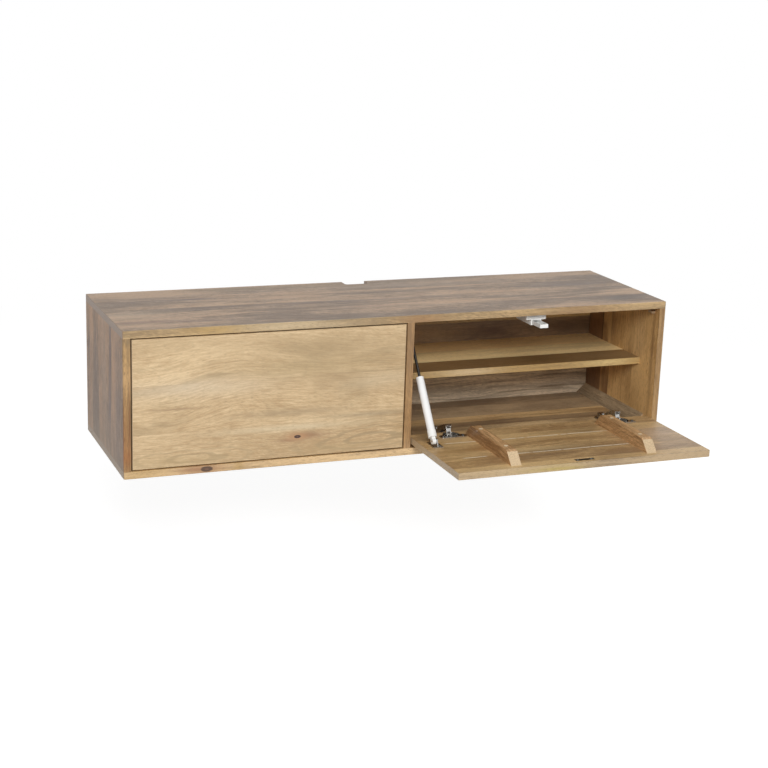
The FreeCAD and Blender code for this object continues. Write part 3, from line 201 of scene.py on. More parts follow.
class Timber(Graph):
    """Timber glued up from staves that lie side by side.

    u runs along the grain, v across the staves and w through the board. flow is v as the grain's own
    course bends it. Noise rates are in cycles per metre, first along the grain and then across it.
    """

    def __init__(self, name, along, across, stave, first, seed):
        super().__init__(name)
        self.along, self.across, self.stave, self.first = along, across, stave, first
        self.spot = self.place()
        self.axes = self.split(self.spot)
        self.u, self.v = self.axes[along], self.axes[across]
        self.w = self.axes[X + Y + Z - along - across]
        self.flow = self.v
        position = self.math("DIVIDE", self.minus(self.v, first), stave)
        self.number = self.math("FLOOR", position)
        self.middle = self.minus(self.minus(position, self.number), 0.5)
        self.chances = self.random(self.plus(self.number, seed))
        self.offset = self.math("MULTIPLY_ADD", self.chances[0], STAVE_OFFSET, seed)

    def sized(self, lengthwise, otherwise):
        """A size for each axis: one along the grain and the other across it."""
        size = [otherwise] * 3
        size[self.along] = lengthwise
        return size

    def reach(self, place, centre, size):
        """The distance from a centre, measured in the size given for each axis."""
        return self.length(self.vector("DIVIDE", self.vector("SUBTRACT", place, centre), size))

    def blob(self, centre, size):
        """1 at the centre, falling off softly to 0 over the size given for each axis."""
        reach = self.reach(self.spot, centre, size)
        return self.math("EXPONENT", self.times(reach, reach, -1.0))

    def grain_noise(self, along_rate, across_rate, detail, roughness=0.5, shift=0.0):
        """Noise that follows the grain."""
        through = self.math("MULTIPLY_ADD", self.w, across_rate, shift)
        place = self.join(self.times(self.u, along_rate), self.times(self.flow, across_rate), through)
        return self.noise(place, detail, roughness)

    def layer_noise(self, along_rate, level, level_rate, detail, roughness):
        """Noise that follows the levels of a value, such as the distance from the pith."""
        place = self.join(self.times(self.u, along_rate), self.times(level, level_rate), self.offset)
        return self.noise(place, detail, roughness)

    def bend_grain(self, bends, knots, waver):
        """Lets the grain tilt, swell round the knots and waver."""
        for centre, size, slope in bends:
            tilt = self.times(self.minus(self.u, centre[self.along]), slope)
            self.flow = self.plus(self.flow, self.times(tilt, self.blob(centre, size)))
        for centre, size in knots:
            side = self.ramp(self.minus(self.v, centre[self.across]), -size, size, -1.0, 1.0)
            swell = self.blob(centre, self.sized(size * 6.0, size * 3.0))
            self.flow = self.minus(self.flow, self.times(side, swell, size * 1.2))
        wide = self.minus(self.grain_noise(2.6, 6.0, 1.5, shift=self.offset), 0.5)
        self.ripple = self.minus(self.grain_noise(10.0, 24.0, 2.0, shift=self.offset), 0.5)
        self.flow = self.plus(self.flow, self.times(wide, 0.045 * waver))
        self.flow = self.plus(self.flow, self.times(self.ripple, 0.009 * waver))

    def pith_distance(self):
        """The distance from a pith that lies under each stave, at a place of its own."""
        centre_line = self.times(self.plus(self.number, 0.5), self.stave)
        inside = self.minus(self.minus(self.flow, self.first), centre_line)
        side = self.minus(inside, self.times(self.minus(self.chances[1], 0.5), self.stave * 1.8))
        deep = self.plus(self.math("MULTIPLY_ADD", self.chances[2], 0.07, 0.02), self.w)
        return self.math("SQRT", self.plus(self.times(side, side), self.times(deep, deep)))

    def lay_grain(self):
        """The layers of the figure, from the broad clouds to the pores."""
        radius = self.pith_distance()
        slant = self.plus(self.plus(self.flow, self.w), self.times(self.u, 0.34))
        self.clouds = self.grain_noise(2.4, 13.0, 2.0, shift=self.offset)
        self.bands = self.layer_noise(3.2, radius, 85.0, 4.0, 0.62)
        self.long_streaks = self.layer_noise(5.5, radius, 150.0, 4.0, 0.6)
        self.flecks = self.grain_noise(30.0, 300.0, 4.0, 0.7)
        self.hatching = self.layer_noise(95.0, slant, 400.0, 2.0, 0.6)
        self.hatched = self.ramp(self.grain_noise(5.0, 22.0, 1.0, shift=self.offset), 0.42, 0.58, 0.25, 1.0)
        self.lines = self.grain_noise(9.0, 720.0, 2.0, 0.6)
        self.pores = self.ramp(self.grain_noise(90.0, 1300.0, 1.0), 0.58, 0.68)

    def depth(self, figure, cloud, fleck, hatch, spread):
        """0 where the timber has its pale tone and 1 where it has its deep one."""
        depth = self.math("MULTIPLY_ADD", self.minus(self.bands, 0.5), figure, 0.5)
        for layer, amount in (
            (self.clouds, cloud),
            (self.flecks, fleck),
            (self.hatching, self.times(self.hatched, hatch)),
            (self.lines, LINE_SHARE),
            (self.chances[2], spread),
        ):
            depth = self.plus(depth, self.times(self.minus(layer, 0.5), amount))
        depth = self.math("MULTIPLY_ADD", self.minus(depth, 0.5), CONTRAST, 0.5)
        return self.math("MAXIMUM", self.math("MINIMUM", depth, 1.0), 0.0)

    def arches(self, loops):
        """1 on the lines of nested arches."""
        place = self.join(*(self.flow if axis == self.across else self.axes[axis] for axis in (X, Y, Z)))
        total = 0.0
        for centre, half_length, half_width, strength in loops:
            reach = self.reach(place, centre, self.sized(half_length, half_width))
            wave = self.math("COSINE", self.plus(self.times(reach, 17.0), self.times(self.ripple, 12.0)))
            fade = self.math("EXPONENT", self.times(reach, reach, -1.1))
            total = self.plus(self.times(self.ramp(wave, 0.2, 0.95), self.times(fade, strength)), total)
        return self.math("MULTIPLY", total, 1.0, clamp=True)

    def stains_and_painted_light(self, colour, patches):
        """Soft patches of other colours, broken up by the figure: stains, and a few patches of painted
        shadow and sheen.
        """
        broken = self.ramp(self.bands, 0.30, 0.65, 0.5, 1.3)
        for centre, size, shade, strength in patches:
            share = self.math("MULTIPLY", self.times(self.blob(centre, size), broken), strength, clamp=True)
            colour = self.mix(share, colour, self.mix(self.flecks, shade, darker(shade, 0.75)))
        return colour

    def knot(self, colour, centre, size):
        """A dark knot with a paler heart, in a fan of warm grain."""
        halo = self.blob(centre, self.sized(size * 6.0, size * 2.2))
        fan = self.times(halo, self.ramp(self.bands, 0.35, 0.6, 0.5, 1.0))
        colour = self.mix(self.times(fan, 0.85), colour, KNOT_HALO)
        wobble = self.times(self.minus(self.flecks, 0.5), 0.6)
        reach = self.plus(self.reach(self.spot, centre, self.sized(size * 1.9, size * 0.9)), wobble)
        colour = self.mix(self.ramp(reach, 1.25, 0.9), colour, KNOT_RING)
        return self.mix(self.ramp(reach, 0.5, 0.2), colour, KNOT_HEART)

    def fill(self, colour, filler, elsewhere):
        """Thin, broken lines of filler."""
        for line, begin, stop in filler:
            near = self.plus(self.v, self.times(self.ripple, 0.006))
            thin = self.band(near, line - FILLER_HALF_WIDTH, line + FILLER_HALF_WIDTH, 0.0005)
            grit = self.noise(self.join(self.times(self.u, 60.0), line * 400.0, 0.0), 2.0)
            share = self.times(thin, self.band(self.u, begin, stop, 0.006), self.ramp(grit, 0.30, 0.48))
            colour = self.mix(self.times(share, elsewhere), colour, FILLER)
        return colour

    def saw_ends(self, colour, end):
        """Gives the sawn ends their own colour, speckled with open pores."""
        normal = self.add("ShaderNodeTexCoord", out="Normal")
        facing = self.math("ABSOLUTE", self.split(normal)[self.along])
        sawn = self.mix(self.ramp(self.even_noise(900.0, 2.0), 0.40, 0.66), end, darker(end, 0.62))
        return self.mix(self.ramp(facing, 0.55, 0.75), colour, sawn)


def timber(name, along, across, tones, stave=0.088, first=0.0, seed=0.0, figure=1.3, cloud=1.0, fleck=1.5,
           hatch=0.9, streaks=0.6, joint=0.35, spread=0.3, waver=1.0, bends=(), loops=(), knots=(),
           patches=(), boards=(), filler=(), end=SAWN, specular=0.5, grain_shade=0.5, outer=None):
    """The material of a piece of timber, its grain running along one axis and its staves across another.

    bends (centre, size, slope) tilt the grain, loops (centre, half length, half width, strength) are nested
    arches, knots are (centre, size), patches (centre, size, colour, strength) are soft, boards (low, high,
    colour, strength) tint whole staves, filler (across, from, to) are pale lines along a joint, and end is
    the colour of the sawn ends. outer (level, tones) gives the face at that level other tones, and leaves
    it without boards and filler.
    """
    g = Timber(name, along, across, stave, first, seed)
    g.bend_grain(bends, knots, waver)
    g.lay_grain()
    depth = g.depth(figure, cloud, fleck, hatch, spread)

    elsewhere = 1.0
    if outer is not None:
        level, outer_tones = outer
        elsewhere = g.ramp(g.math("ABSOLUTE", g.minus(g.w, level)), 0.0005, 0.0015)
        tones = {part: g.mix(elsewhere, outer_tones[part], tones[part]) for part in tones}
    colour = g.mix(depth, tones["pale"], tones["deep"])
    for low, high, shade, strength in boards:
        share = g.times(g.band(g.v, low, high, 0.0008), strength, elsewhere)
        colour = g.mix(share, colour, g.mix(depth, shade, darker(shade, grain_shade)))
    share = g.times(g.ramp(g.long_streaks, 0.50, 0.74), g.ramp(g.clouds, 0.42, 0.62), streaks)
    colour = g.mix(share, colour, tones["streak"])
    if loops:
        colour = g.mix(g.arches(loops), colour, tones["streak"])
    colour = g.stains_and_painted_light(colour, patches)
    colour = g.mix(g.times(g.pores, PORE_SHARE), colour, tones["streak"])
    for centre, size in knots:
        colour = g.knot(colour, centre, size)

    to_joint = g.times(g.minus(0.5, g.math("ABSOLUTE", g.middle)), stave)
    seam = g.ramp(to_joint, 0.0009, 0.0002)
    colour = g.mix(g.times(seam, joint), colour, GLUE_DARK)
    colour = g.fill(colour, filler, elsewhere)
    colour = g.saw_ends(colour, end)

    grain = g.plus(g.times(g.flecks, 0.5), g.times(g.lines, 0.5))
    height = g.minus(g.minus(grain, g.times(g.pores, 0.8)), g.times(seam, 0.9))
    g.surface(
        Base_Color=colour,
        Roughness=g.ramp(grain, 0.3, 0.7, SATIN - 0.06, SATIN + 0.08),
        Specular_IOR_Level=specular,
        Normal=g.bump(height, 0.00016, 0.7),
    )
    return g.material


# ---------------------------------------------------------------- other finishes
def polished_metal(name, colour, roughness):
    """Plated steel with faint smudges."""
    g = Graph(name)
    cloud = g.even_noise(160.0, 3.0)
    g.surface(
        Base_Color=g.mix(g.ramp(cloud, 0.35, 0.7), colour, darker(colour, 0.72)),
        Metallic=1.0,
        Roughness=g.ramp(cloud, 0.3, 0.7, roughness, roughness + 0.12),
        Normal=g.bump(g.even_noise(2600.0, 2.0), 0.00003, 0.6),
    )
    return g.material


def enamel(name, colour, roughness, coat=0.0):
    """Sprayed or moulded white, with a little orange peel and faint dust in random patches."""
    g = Graph(name)
    cloud = g.even_noise(45.0, 3.0)
    g.surface(
        Base_Color=g.mix(g.ramp(cloud, 0.4, 0.75), colour, darker(colour, 0.93)),
        Roughness=g.ramp(cloud, 0.3, 0.7, roughness, roughness + 0.08),
        Coat_Weight=coat,
        Coat_Roughness=0.12,
        Normal=g.bump(g.even_noise(900.0, 1.0), 0.00004, 0.5),
    )
    return g.material


def ferrite(name):
    """Dark, gritty magnet material."""
    g = Graph(name)
    grit = g.even_noise(1400.0, 2.0)
    g.surface(
        Base_Color=g.mix(grit, (0.035, 0.033, 0.032), (0.07, 0.065, 0.06)),
        Metallic=0.3,
        Roughness=0.6,
        Normal=g.bump(grit, 0.00008, 0.6),
    )
    return g.material


# ---------------------------------------------------------------- edges and screws
ARRIS = 0.00035
ARRIS_OVER = math.radians(50.0)
SMOOTH_UNDER = math.radians(35.0)
WELD = 0.000002
SAME_LEVEL = 0.0001

SCREW_SIDES = 28
FIRST_TURN, NEXT_TURN = 0.6, 1.7  # radians, so that no two recesses stand alike
# Shares of the shank's radius. The point's are a radius and a height above the tip.
POINT = ((0.15, 0.0), (0.6, 1.0))
THREAD_START, THREAD_PITCH, THREAD_ROOT, THREAD_FLANK = 1.2, 0.55, 0.78, 0.22
NECK = 0.85
# Shares of the head's radius, and of its height from the top down
DOME = ((0.97, 1.0), (1.0, 0.80), (0.97, 0.50), (0.86, 0.24), (0.66, 0.08), (0.40, 0.01), (0.10, 0.0))
RECESS_REACH, RECESS_HALF_WIDTH = 0.58, 0.13
RECESS_BOTTOM, RECESS_TOP, RECESS_TAPER = -0.75, 0.3, 0.45


def smooth_shading():
    """A node group that shades a mesh smooth wherever its faces meet at a small angle."""
    group = bpy.data.node_groups.new("smooth_shading", "GeometryNodeTree")
    group.interface.new_socket("Geometry", in_out="INPUT", socket_type="NodeSocketGeometry")
    group.interface.new_socket("Geometry", in_out="OUTPUT", socket_type="NodeSocketGeometry")
    source, target = group.nodes.new("NodeGroupInput"), group.nodes.new("NodeGroupOutput")
    faces, edges = (group.nodes.new("GeometryNodeSetShadeSmooth") for _ in range(2))
    faces.domain, edges.domain = "FACE", "EDGE"
    angle = group.nodes.new("GeometryNodeInputMeshEdgeAngle")
    small = group.nodes.new("FunctionNodeCompare")
    small.operation = "LESS_THAN"
    small.inputs["B"].default_value = SMOOTH_UNDER
    for start, end in (
        (source.outputs[0], faces.inputs["Geometry"]),
        (faces.outputs[0], edges.inputs["Geometry"]),
        (angle.outputs[0], small.inputs["A"]),
        (small.outputs[0], edges.inputs["Shade Smooth"]),
        (edges.outputs[0], target.inputs[0]),
    ):
        group.links.new(start, end)
    return group


SHADING = smooth_shading()


def smooth_edges(obj):
    """Takes the sharpness off an object's edges, and shades its round faces smooth."""
    obj.modifiers.new("weld", "WELD").merge_threshold = WELD
    obj.modifiers.new("shading", "NODES").node_group = SHADING
    bevel = obj.modifiers.new("arris", "BEVEL")
    bevel.width = ARRIS
    bevel.segments = 2
    bevel.limit_method = "ANGLE"
    bevel.angle_limit = ARRIS_OVER
    bevel.harden_normals = True


def loose_parts(node):
    """The corner points of each separate solid of a node."""
    bm = bmesh.new()
    bm.from_mesh(frame["nodes"][node].data)
    bmesh.ops.remove_doubles(bm, verts=bm.verts, dist=WELD)
    waiting = set(bm.verts)
    parts = []
    while waiting:
        stack, found = [waiting.pop()], []
        while stack:
            vert = stack.pop()
            found.append(vert.co.copy())
            for edge in vert.link_edges:
                other = edge.other_vert(vert)
                if other in waiting:
                    waiting.remove(other)
                    stack.append(other)
        parts.append(found)
    bm.free()
    return sorted(parts, key=lambda part: tuple(round(value, 5) for value in min(part, key=tuple)))


def lathe(bm, profile, sides):
    """Turns (radius, height) points about the z axis, closed at both ends."""
    rings = []
    turns = [2 * math.pi * i / sides for i in range(sides)]
    for radius, height in profile:
        rings.append([bm.verts.new((radius * math.cos(t), radius * math.sin(t), height)) for t in turns])
    for lower, upper in zip(rings, rings[1:]):
        for i in range(sides):
            j = (i + 1) % sides
            bm.faces.new((lower[i], lower[j], upper[j], upper[i]))
    bm.faces.new(rings[0][::-1])
    bm.faces.new(rings[-1])


def cross_tool(bm, reach, width, low, high):
    """A cross that narrows downwards, for cutting a driver recess."""
    outline = []
    for quarter in range(4):
        turn = Matrix.Rotation(math.pi / 2 * quarter, 2)
        for point in ((reach, -width), (reach, width), (width, width)):
            outline.append(turn @ Vector(point))
    bottom = [bm.verts.new((p.x * RECESS_TAPER, p.y * RECESS_TAPER, low)) for p in outline]
    top = [bm.verts.new((p.x, p.y, high)) for p in outline]
    bm.faces.new(bottom[::-1])
    bm.faces.new(top)
    for i in range(len(outline)):
        j = (i + 1) % len(outline)
        bm.faces.new((bottom[i], bottom[j], top[j], top[i]))


def mesh_from(build, *sizes):
    """A mesh of what a build function makes of the sizes."""
    bm = bmesh.new()
    build(bm, *sizes)
    mesh = bpy.data.meshes.new("shape")
    bm.to_mesh(mesh)
    bm.free()
    return mesh


def screw_shape(head, shank, head_height, length):
    """A screw along z, its head's top at the origin: domed head, cross recess, thread and point.

    head and shank are radii.
    """
    root, flank = shank * THREAD_ROOT, shank * THREAD_FLANK
    profile = [(shank * across, shank * up - length) for across, up in POINT]
    for turn in range(int((length - head_height - shank * 2) / (shank * THREAD_PITCH))):
        height = -length + shank * THREAD_START + turn * shank * THREAD_PITCH
        profile += [(root, height), (shank, height + flank), (root, height + flank * 2)]
    profile.append((shank * NECK, -head_height))
    profile += [(head * across, -head_height * down) for across, down in DOME]
    body = bpy.data.objects.new("body", mesh_from(lathe, profile, SCREW_SIDES))
    tool = bpy.data.objects.new("tool", mesh_from(
        cross_tool, head * RECESS_REACH, head * RECESS_HALF_WIDTH, head_height * RECESS_BOTTOM,
        head_height * RECESS_TOP))
    for obj in (body, tool):
        bpy.context.scene.collection.objects.link(obj)
    cut = body.modifiers.new("recess", "BOOLEAN")
    cut.operation, cut.solver, cut.object = "DIFFERENCE", "EXACT", tool
    bpy.context.view_layer.update()
    shape = bpy.data.meshes.new_from_object(body.evaluated_get(bpy.context.evaluated_depsgraph_get()))
    for obj in (body, tool):
        bpy.data.objects.remove(obj)
    return shape


def make_screws(node, material):
    """Replaces a node's plain screws by ones with a domed head, a driver recess and a thread."""
    bm = bmesh.new()
    shapes = {}
    for part in loose_parts(node):
        low = Vector(min(p[i] for p in part) for i in range(3))
        high = Vector(max(p[i] for p in part) for i in range(3))
        size = high - low
        axis = max(range(3), key=lambda i: size[i])
        centre = (low + high) / 2

        def radius_at(level):
            return max((Vector(p[i] - centre[i] for i in range(3) if i != axis).length
                        for p in part if abs(p[axis] - level) < SAME_LEVEL), default=0.0)

        ends = {1.0: high[axis], -1.0: low[axis]}
        sign = max(ends, key=lambda way: radius_at(ends[way]))
        top = ends[sign]
        levels = sorted({round(abs(p[axis] - top), 5) for p in part})
        head, shank = radius_at(top), radius_at(ends[-sign])
        key = tuple(round(v, 5) for v in (head, shank, levels[1], levels[-1]))
        if key not in shapes:
            shapes[key] = screw_shape(*key)
        outward, place = Vector((0, 0, 0)), centre.copy()
        outward[axis], place[axis] = sign, top
        before = len(bm.verts)
        bm.from_mesh(shapes[key])
        bm.verts.ensure_lookup_table()
        turned = Matrix.Rotation(FIRST_TURN + NEXT_TURN * before, 4, "Z")
        pointed = outward.to_track_quat("Z", "Y").to_matrix().to_4x4()
        bmesh.ops.transform(bm, verts=bm.verts[before:], matrix=Matrix.Translation(place) @ pointed @ turned)
    mesh = bpy.data.meshes.new(f"{node}_detailed")
    bm.to_mesh(mesh)
    bm.free()
    mesh.materials.append(material)
    piece = bpy.data.objects.new(f"{node}_detailed", mesh)
    bpy.context.scene.collection.objects.link(piece)
    piece.modifiers.new("shading", "NODES").node_group = SHADING
    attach(piece, frame["nodes"][node]["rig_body"])
    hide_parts(node)


# ---------------------------------------------------------------- what each node is made of
low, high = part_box("bottom_panel")
left_x, right_x = low.x, high.x
front_y, case_low = low.y, low.z
case_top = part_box("top_panel")[1].z
PANEL_THICKNESS = 0.015
EDGE_SKIN = 0.0015  # how far behind a front edge its own tone reaches
ONE_STAVE = {"stave": 0.2, "first": -1.0}  # for pieces too narrow to be glued up

# The fittings that wear each finish
FITTINGS = {
    "nickel": ("hinge_cups", "hinge_arms", "hinge_plates", "outer_links", "inner_links",
               "strut_door_bracket", "strut_wall_bracket"),
    "dark_steel": ("strut_rod", "strike_plate"),
    "white_enamel": ("strut_cylinder",),
    "white_plastic": ("strut_foot", "latch_housing", "latch_plunger"),
}


def front_edge(front):
    """The range across a board's staves that holds its front edge alone."""
    return front - 0.01, front + EDGE_SKIN


def dress(node, material):
    """Gives a CAD node its finish."""
    obj = frame["nodes"][node]
    obj.data.materials.clear()
    obj.data.materials.append(material)


def dress_case():
    """The timber of the case, its back, shelves, rails, strips and stops."""
    face = front_y
    edge = front_edge(face)
    top_edge_level = case_top - 0.009
    dress("top_panel", timber(
        "top_timber", X, Y, GREY, stave=0.0875, first=face, seed=3.0, figure=1.9, cloud=2.0, streaks=0.9,
        hatch=1.5, end=(0.36, 0.235, 0.15), boards=[(*edge, (0.75, 0.53, 0.265), 0.94)], patches=[
            ((-0.555, -0.282, case_top), (0.07, 0.007, 0.02), (0.27, 0.11, 0.085), 0.75),
            ((-0.55, -0.215, case_top), (0.06, 0.03, 0.02), (0.55, 0.40, 0.26), 0.7),
            ((-0.43, -0.295, case_top), (0.06, 0.010, 0.02), (0.22, 0.13, 0.09), 0.6),
            ((-0.385, -0.10, case_top), (0.05, 0.009, 0.02), (0.13, 0.075, 0.06), 0.75),
            ((-0.575, -0.07, case_top), (0.05, 0.03, 0.02), (0.20, 0.12, 0.065), 0.6),
            ((-0.45, -0.075, case_top), (0.10, 0.02, 0.02), (0.23, 0.14, 0.085), 0.5),
            ((-0.24, -0.02, case_top), (0.20, 0.022, 0.02), (0.24, 0.15, 0.065), 0.65),
            ((-0.03, -0.19, case_top), (0.16, 0.007, 0.02), (0.18, 0.11, 0.085), 0.65),
            ((-0.05, -0.245, case_top), (0.07, 0.003, 0.02), (0.32, 0.16, 0.115), 0.6),
            ((0.10, -0.06, case_top), (0.30, 0.020, 0.02), (0.46, 0.32, 0.21), 0.5),
            ((0.22, -0.02, case_top), (0.25, 0.02, 0.02), (0.23, 0.145, 0.075), 0.5),
            ((0.47, -0.135, case_top), (0.10, 0.012, 0.02), (0.20, 0.13, 0.10), 0.6),
            ((-0.41, face, top_edge_level), (0.06, 0.004, 0.012), (0.66, 0.42, 0.12), 0.7),
            ((-0.25, face, top_edge_level), (0.13, 0.004, 0.012), (0.86, 0.68, 0.42), 0.75),
            ((0.02, face, top_edge_level), (0.05, 0.004, 0.012), (0.42, 0.22, 0.09), 0.6),
            ((0.39, face, top_edge_level), (0.08, 0.004, 0.012), (0.30, 0.155, 0.06), 0.8),
        ]))
    dress("bottom_panel", timber(
        "bottom_timber", X, Y, TAN, stave=0.0875, first=face, seed=11.0, figure=2.6, cloud=2.3, streaks=1.0,
        boards=[(*edge, (0.97, 0.68, 0.36), 0.95), (-0.238, -0.205, (0.26, 0.17, 0.10), 0.75),
                (-0.282, -0.238, (0.74, 0.54, 0.30), 0.6), (-0.165, -0.03, (0.37, 0.28, 0.19), 0.68)],
        end=(0.36, 0.235, 0.125), knots=[((-0.432, face, case_low + 0.0080), 0.0060)], patches=[
            ((-0.452, face, case_low + 0.0075), (0.040, 0.004, 0.02), (0.52, 0.27, 0.14), 0.9),
            ((-0.56, face, case_low + 0.0075), (0.05, 0.004, 0.02), (0.72, 0.48, 0.19), 0.7),
            ((-0.366, face, case_low + 0.0075), (0.010, 0.004, 0.02), (0.66, 0.42, 0.13), 0.6),
            ((0.10, -0.20, case_low + 0.015), (0.06, 0.04, 0.02), (0.36, 0.22, 0.10), 0.5),
        ]))
    dress("left_side_panel", timber(
        "left_side_timber", Z, Y, DUSK, stave=0.115, first=-0.352, seed=21.0, figure=2.0, cloud=1.7,
        streaks=0.9, specular=0.25, boards=[(*edge, (0.58, 0.36, 0.155), 0.92)], patches=[
            ((left_x, -0.236, -0.02), (0.02, 0.0075, 0.085), (0.085, 0.04, 0.045), 0.85),
            ((left_x, -0.228, -0.13), (0.02, 0.010, 0.06), (0.15, 0.085, 0.075), 0.6),
            ((left_x, -0.29, -0.05), (0.02, 0.045, 0.20), (0.25, 0.155, 0.11), 0.55),
            ((left_x, -0.255, -0.20), (0.02, 0.020, 0.05), (0.18, 0.10, 0.055), 0.7),
            ((left_x, -0.175, -0.02), (0.02, 0.028, 0.15), (0.47, 0.32, 0.21), 0.5),
            ((left_x, -0.17, -0.25), (0.02, 0.22, 0.06), (0.26, 0.165, 0.085), 0.6),
            ((left_x, face, -0.17), (0.02, 0.006, 0.07), (0.33, 0.15, 0.06), 0.9),
            ((left_x, face, -0.050), (0.02, 0.006, 0.03), (0.74, 0.47, 0.23), 0.7),
            ((left_x, face, -0.21), (0.02, 0.006, 0.02), (0.38, 0.15, 0.055), 0.8),
            ((left_x, face, 0.010), (0.02, 0.006, 0.04), (0.42, 0.28, 0.14), 0.7),
            ((left_x, face, 0.024), (0.02, 0.006, 0.008), (0.26, 0.19, 0.11), 0.7),
        ]))
    inner = right_x - PANEL_THICKNESS
    dress("right_side_panel", timber(
        "right_side_timber", Z, Y, RUST, stave=0.102, first=face, seed=31.0, figure=2.1, cloud=1.4,
        streaks=1.0, waver=1.8, boards=[
            (*edge, (0.55, 0.33, 0.13), 0.8),
            # The rear stave is darker partly as its own dark wood and partly as painted shade deep in the
            # bay
            (-0.108, 0.0, (0.27, 0.125, 0.055), 0.82),
        ], patches=[
            ((inner, -0.105, -0.055), (0.01, 0.0025, 0.06), (0.04, 0.016, 0.008), 1.2),
            ((inner, -0.150, -0.06), (0.01, 0.025, 0.08), (0.33, 0.18, 0.08), 0.6),
            ((inner, -0.330, -0.10), (0.01, 0.006, 0.12), (0.22, 0.10, 0.045), 0.8),
            ((inner, -0.275, -0.06), (0.01, 0.030, 0.06), (0.82, 0.55, 0.27), 0.5),
            ((inner, -0.245, -0.20), (0.005, 0.045, 0.045), (0.42, 0.24, 0.09), 0.6),
        ]))
    dress("centre_divider", timber(
        "divider_timber", Z, Y, TAN, stave=0.0875, first=face, seed=41.0,
        boards=[(*edge, (0.66, 0.38, 0.155), 0.9)]))
    shelf_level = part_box("right_shelf")[0].z
    dress("back_panel", timber(
        "back_timber", X, Z, UMBER, stave=0.072, first=case_low, seed=51.0, figure=1.9, cloud=1.6,
        streaks=0.7,
        outer=(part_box("back_panel")[1].y, RAW),
        loops=[((0.22, -0.04, -0.092), 0.18, 0.030, 0.75)], boards=[
            (-0.054, 0.05, (1.0, 0.69, 0.30), 0.94),
            (-0.26, shelf_level - 0.045, (1.0, 0.82, 0.59), 0.88),
        ], patches=[
            ((0.36, -0.04, -0.075), (0.16, 0.02, 0.018), (0.15, 0.07, 0.04), 0.7),
            ((0.16, -0.04, -0.075), (0.10, 0.02, 0.018), (0.66, 0.44, 0.22), 0.7),
            # Painted shadow: a dark band on the back just under the shelf, where the shelf's shadow falls
            ((0.30, -0.04, shelf_level - 0.03), (0.5, 0.02, 0.018), (0.20, 0.125, 0.07), 0.5),
        ]))
    for side, seed in (("left", 61.0), ("right", 67.0)):
        dress(f"{side}_hanging_rail", timber(
            f"{side}_rail_timber", X, Z, UMBER, seed=seed))
        low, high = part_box(f"{side}_shelf")
        dress(f"{side}_shelf", timber(
            f"{side}_shelf_timber", X, Y, AMBER, stave=0.08, first=low.y - 0.005, seed=seed + 1, figure=1.8,
            cloud=1.5, hatch=1.8, streaks=0.3, grain_shade=0.74, boards=[
                (*front_edge(low.y), (0.47, 0.31, 0.12), 0.9),
                (low.y + EDGE_SKIN, low.y + 0.075, (0.20, 0.115, 0.045), 0.85),
                # Painted light: the middle stave is paler where the lamp's light is taken to reach deeper
                # into the bay, and the rear stave is paler to offset its shade; grain_shade 0.74 and the few
                # streaks brighten the shelf in the same way
                (low.y + 0.075, low.y + 0.155, (1.0, 0.76, 0.38), 1.0),
                (low.y + 0.155, high.y, (1.0, 0.70, 0.33), 0.96),
            ], patches=[
                ((low.x + 0.34, low.y + 0.04, high.z), (0.07, 0.03, 0.01), (0.13, 0.07, 0.02), 0.8),
                # Painted sheen: the paler right end of the dark front stave
                ((high.x - 0.05, low.y + 0.035, high.z), (0.09, 0.03, 0.01), (0.34, 0.22, 0.10), 0.7),
                ((low.x + 0.16, low.y, high.z), (0.07, 0.003, 0.02), (0.70, 0.53, 0.31), 0.8),
                ((high.x - 0.08, low.y, high.z), (0.06, 0.003, 0.02), (0.74, 0.55, 0.24), 0.8),
            ]))
        dress(f"{side}_corner_strip", timber(
            f"{side}_strip_timber", Y, Z, UMBER, seed=seed + 2, figure=1.8, cloud=1.6,
            boards=[(-1.0, 1.0, (0.44, 0.34, 0.215), 0.7)], **ONE_STAVE))
        dress(f"{side}_door_stops", timber(
            f"{side}_stop_timber", X, Y, UMBER, seed=seed + 3, **ONE_STAVE))


